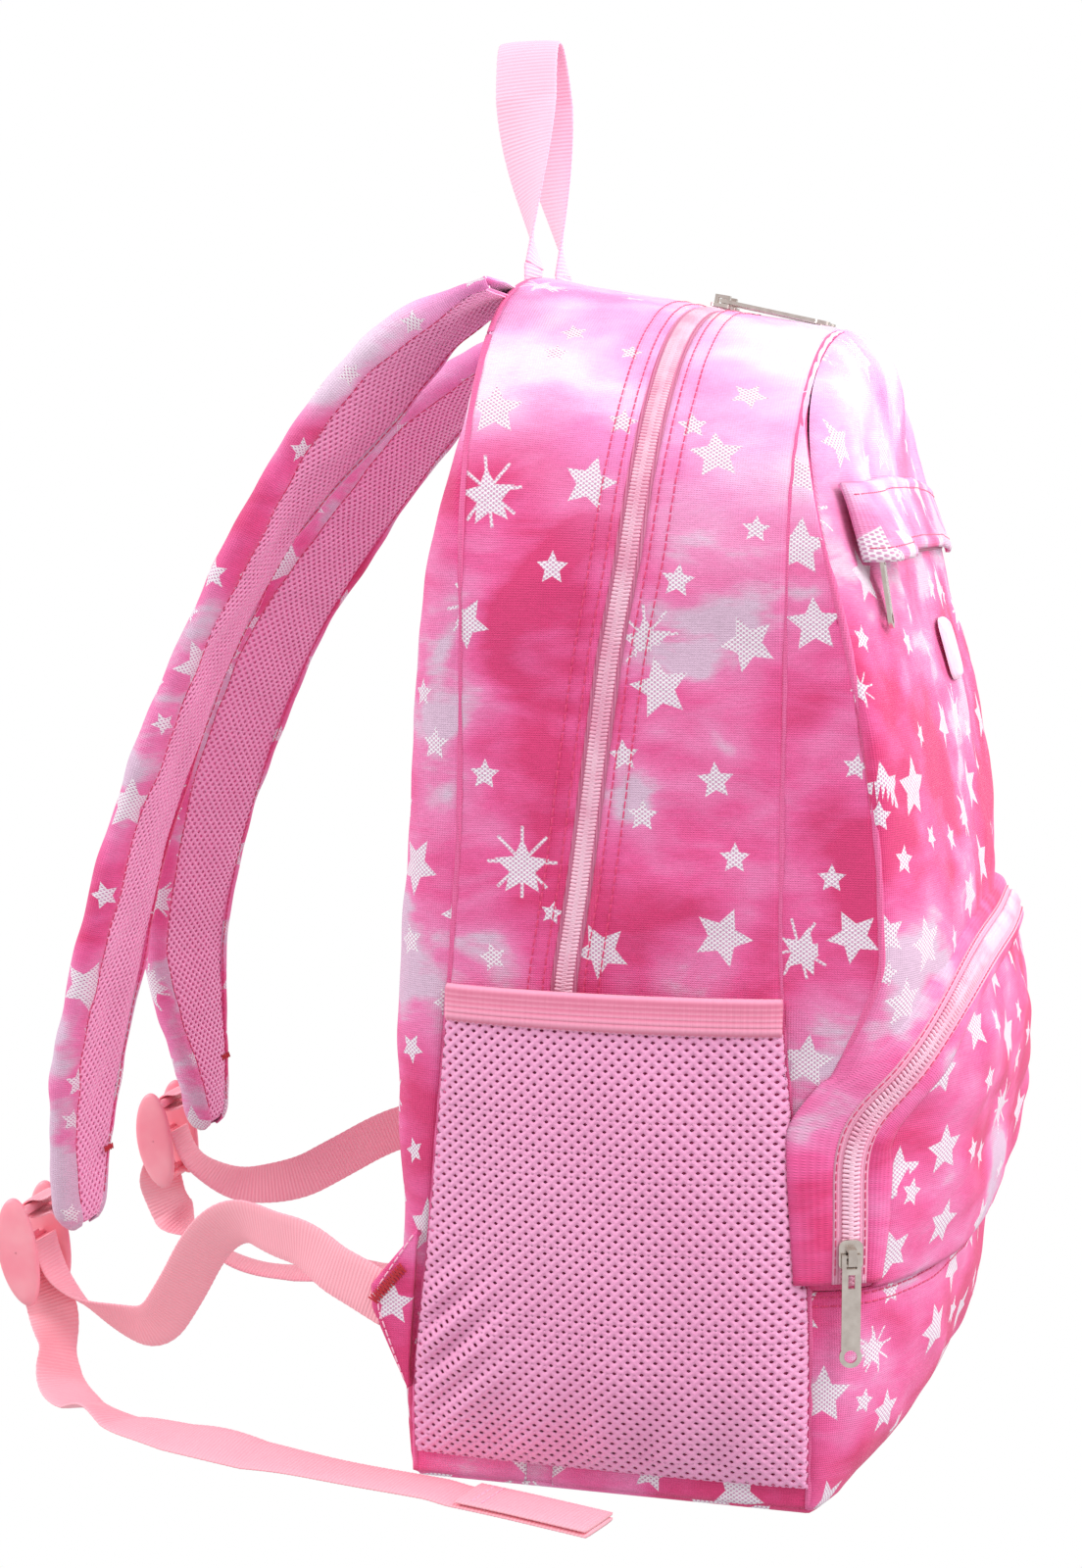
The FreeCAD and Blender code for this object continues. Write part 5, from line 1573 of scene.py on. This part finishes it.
def make_tabs(m):
    """Triangular tabs that hold the lower webbings, with their edge stitches and bartacks."""
    inner = smooth_line(np.array([(79.5, 36, 0), (78, 60, 0), (75.5, 96, 0)], float), 60)
    outline = np.array([(79.8, 36.2, 0), (86.5, 50.5, 0), (93.2, 65.5, 0), (93.5, 74, 0), (84.5, 85.2, 0),
                        (75.8, 95.8, 0)], float)
    outer = resample(outline, lengths_along(outline)[-1] / 59)
    t = np.linspace(0, 1, 16)
    flat = mix(inner[:, None, :2], outer[:, None, :2], t[:, None])
    rim = np.minimum(np.linalg.norm(outer - inner, axis=1)[:, None] * (1 - t), 4.0)
    cloth = flat + (0.0, 500.0)
    steps = np.linspace(0, 1, 27)
    zig = np.where(np.arange(27) % 2 == 0, 1.9, -1.9)[:, None] * np.array([0.0, 0.76, 0.65])
    for name, side in SIDES:
        x = side * (HALF_WIDTH + 1.5 + 1.1 * np.sqrt(rim / 4.0))
        grid = joined(x, flat[..., 0], flat[..., 1])
        tab = sheet_piece("tab_" + name, grid, 2.4, m["canvas_bag"], cloth, [(85.0, 568.0, 7.0, 20, 0)],
                          offset=-1.0, turned=side < 0)
        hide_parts("anchor_tab_" + name)
        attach(tab, "bag")
        normal = np.array([[side, 0.0, 0.0]])
        edge = [(grid_line(grid, 0.82), normal)]
        stitches("tab_stitches_" + name, edge, m["pale_stitch"], "bag", radius=0.32)
        spots = joined(side * (HALF_WIDTH + 3.1), mix(92.4, 80.6, steps), mix(68.4, 82.0, steps)) + zig
        tack = rods("bartack_thread_" + name, spots[:-1], spots[1:], 0.34, m["red_thread"])
        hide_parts("bartack_" + name)
        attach(tack, "bag")


def back_grid(pitch, low, top, surface, half):
    """Grid of a panel that rises from low to top on the bag's back, and its place on the cloth."""
    return front_grid(surface, half, low, top, int(440 / pitch), WAIST, pitch, 1.7)


def pad_bulge(x, z):
    """How far the back pads stand out: two tall cushions with channels between and round them."""
    side = np.clip(1 - ((np.abs(x) - 50.0) / 42.0) ** 2, 0.0, 1.0)
    tall = np.clip(1 - ((z - 222.0) / 168.0) ** 2, 0.0, 1.0)
    return 6.5 * side ** 0.5 * tall ** 0.35


def make_back(m):
    grid, cloth = back_grid(2.5, BASE_EDGE, lambda x: arch_height(x, BACK_SEAM_Y) - 0.6, back_y,
                            HALF_WIDTH)
    stars = scatter(cloth, SEED + 25)
    piece = panel("panel_back", grid, cloth, m["canvas_bag"], stars, SEED + 12, swell=1.0, wavelength=70.0)[0]
    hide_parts("back_panel")
    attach(piece, "bag")
    uv, height, quads = net_cells((-97.0, 52.0), (97.0, 392.0), 6.2, 2.8, (1.3, 0.98))
    x, z = uv.T
    y = back_y(x, z) + 0.9 + pad_bulge(x, z) + 0.4 * height
    net = new_piece("back_net", joined(x, y, z), quads[:, ::-1], m["net"])
    thicken(net, 0.8)
    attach(net, "bag")
    x, z = np.meshgrid(np.linspace(-97.4, 97.4, 110), np.linspace(51.6, 392.4, 170))
    grid = joined(x, back_y(x, z) + 0.1 + pad_bulge(x, z), z)
    pad = sheet_piece("back_pad", grid, 1.0, m["padding"], None, offset=-1.0, turned=True)
    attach(pad, "bag")
    ring = np.concatenate([grid[0], grid[1:, -1], grid[-1, ::-1][1:], grid[::-1, 0][1:]])
    rim = tube("back_binding", resample(ring + np.array([0, 1.2, 0]), 2.0), 1.9, m["webbing"], 10)
    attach(rim, "bag")


def make_base(m):
    x = 144.0 * np.sin(np.linspace(-1.0, 1.0, 150) * np.pi / 2)
    t = np.linspace(0.0, 1.0, 90)
    front = front_y(x, 4.0) + 1.4
    back = back_y(x, 4.0) - 1.4
    y = mix(front, back, t[:, None])
    rim = np.minimum(np.minimum(t, 1 - t)[:, None] * (back - front), 144.0 - np.abs(x))
    sag = 0.5 * np.clip(ripples(joined(x, y, 0.0), 50.0, SEED + 50), -1, 1) * ease(rim, 3.0, 30.0)
    grid = joined(x, y, 0.8 + sag + 3.0 * np.exp(-rim / 1.6))
    cloth = grid[..., :2] + (0.0, -300.0)
    base = sheet_piece("base_cloth", grid, 1.6, m["canvas_bag"], cloth, scatter(cloth, SEED + 26),
                       offset=-1.0, turned=True)
    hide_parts("base_panel")
    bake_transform(base)


def make_zip_folds(m):
    """Cloth that joins the two halves below the zip's ends."""
    z = np.linspace(BASE_EDGE, ZIP_END + 1.5, 14)[:, None]
    t = np.linspace(-1, 1, 12)
    y = zip_line(z) + t * (ZIP_HALF + 1.0)
    for name, side in SIDES:
        grid = joined(side * (HALF_WIDTH - 0.9 - 0.5 * (1 - t ** 2)), y, z)
        fold = sheet_piece("gusset_fold_" + name, grid, CLOTH, m["canvas_bag"], joined(y, z - 60.0), [],
                           offset=-1.0, turned=side < 0)
        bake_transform(fold)


def make_inside(m):
    """The front wall's lining, the back's foam and the document sleeve with its bound edge."""
    def liner(name, node, surface, half, low, top, material, thick, body, seed, amount=0.8):
        grid, cloth = back_grid(5.0, low, top, surface, half)
        grid[..., 1] += amount * ripples(grid, 60.0, seed)
        piece = sheet_piece(name, grid, thick, material, cloth)
        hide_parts(node)
        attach(piece, body)

    liner("wall_lining", "front_wall", lambda x, z: front_seam(z) + 0.6 + 0 * x, 141.0, 5.0,
          lambda x: arch_height(x * HALF_WIDTH / 141, FRONT_SEAM_Y) - 4.0,
          m["lining"], 1.2, "front_half", 80)
    liner("back_cushion", "back_foam", lambda x, z: back_y(x, z) - 7.0, 128.0, 14.0,
          lambda x: arch_height(x * HALF_WIDTH / 128, BACK_SEAM_Y) - 17.0,
          m["foam"], 6.4, "bag", 81, 0.3)
    liner("sleeve_cloth", "document_sleeve", lambda x, z: back_y(x, z) - 26.6, 117.0, 8.5,
          lambda x: 262.0 + 0 * x, m["lining"], 1.2, "bag", 82)
    liner("sleeve_edge", "sleeve_binding", lambda x, z: back_y(x, z) - 26.6, 117.5, 262.0,
          lambda x: 271.5 + 0 * x, m["webbing"], 2.4, "bag", 82)


# ---- hard parts ----
def make_locks(m):
    """Ladder locks: two leaf-shaped sides joined by their bars."""
    turn = np.linspace(0, 2 * np.pi, 48, endpoint=False)
    share = np.array([0.02, 0.3, 0.6, 0.8, 0.92, 0.98, 1.0, 1.0, 0.98, 0.92, 0.8, 0.6, 0.3, 0.02])
    depth = np.array([1.9, 1.9, 1.85, 1.75, 1.45, 0.9, 0.35, -0.35, -0.9, -1.45, -1.75, -1.85, -1.9, -1.9])
    lean = math.radians(9.0)
    a = 8.6 * np.cos(turn) * share[:, None]
    b = 22.5 * np.sin(turn) * share[:, None]
    hollow = 1.5 * np.sin(turn) ** 2 * share[:, None]
    leaf = grid_faces(len(share), len(turn), wrap=True)
    faces = np.concatenate([leaf, leaf + len(share) * len(turn)])
    for name, (x, y, z) in (("left", LOCK_LEFT), ("right", LOCK_RIGHT)):
        py = y + 3.0 - hollow + a * math.cos(lean) + b * math.sin(lean)
        pz = z - 17.0 + b * math.cos(lean) - a * math.sin(lean)
        points = [joined(x + side * 14.6 + depth[:, None], py, pz) for side in (-1, 1)]
        shell = new_piece("lock_sides_" + name, np.concatenate(points), faces, m["plastic"])
        bars = [(y, z, 2.0), (y + 3.2, z - 18.0, 1.8), (y + 5.2, z - 16.4, 1.4), (y + 0.8, z - 37.0, 1.9),
                (y + 2.6, z - 34.8, 1.6)]
        rungs = [rods("lock_bar_%s_%d" % (name, k), [(x - 14.0, by, bz)], [(x + 14.0, by, bz)], radius,
                      m["plastic"], 20) for k, (by, bz, radius) in enumerate(bars)]
        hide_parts("ladder_lock_" + name)
        for piece in [shell] + rungs:
            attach(piece, "lock_" + name)


def paint_hard_parts(m):
    """The zip sliders and pulls stay as they are packed, with nickel on them."""
    for node in ("main_slider_left", "main_slider_right", "main_pull_left", "main_pull_right", "upper_slider",
                 "upper_pull", "lower_slider", "lower_pull"):
        mesh = bpy.data.objects[node].data
        mesh.materials.clear()
        mesh.materials.append(m["nickel"])


# ---- light ----
def make_light():
    world = bpy.data.worlds.new("world")
    bpy.context.scene.world = world
    world.use_nodes = True
    tree = world.node_tree
    back = tree.nodes["Background"]
    path = tree.nodes.new("ShaderNodeLightPath")
    level = tree.nodes.new("ShaderNodeMapRange")
    tree.links.new(path.outputs["Is Camera Ray"], level.inputs["Value"])
    level.inputs["To Min"].default_value = 0.72
    level.inputs["To Max"].default_value = 1.0
    tree.links.new(level.outputs[0], back.inputs["Strength"])
    back.inputs["Color"].default_value = (1.0, 1.0, 1.0, 1.0)
    lamps = (("key", (-0.7, -1.2, 1.65), 1.2, 22.0), ("front", (0.1, -1.7, 0.7), 1.1, 10.0),
             ("back", (-0.45, 1.6, 1.1), 1.0, 18.0), ("rim", (1.4, -0.6, 0.9), 0.9, 8.0))
    for name, place, size, power in lamps:
        data = bpy.data.lights.new(name, "AREA")
        data.shape = "DISK"
        data.size = size
        data.energy = power
        lamp = bpy.data.objects.new(name, data)
        bpy.context.scene.collection.objects.link(lamp)
        lamp.location = place
        lamp.rotation_euler = (Vector((0, 0, 0.25)) - Vector(place)).to_track_quat("-Z", "Y").to_euler()
    bpy.context.scene.view_settings.view_transform = "Standard"


make_camera()
materials = make_materials()
for make in (make_lower_webbings, make_tails, make_gussets, make_seams, make_main_zip, make_front_panels,
             make_second_gussets, make_lower_pocket, make_upper_zip, make_flap, make_badge, make_side_pockets,
             make_straps, make_locks, make_handle, make_tabs, make_back, make_base, make_zip_folds,
             make_inside, paint_hard_parts):
    make(materials)
make_light()
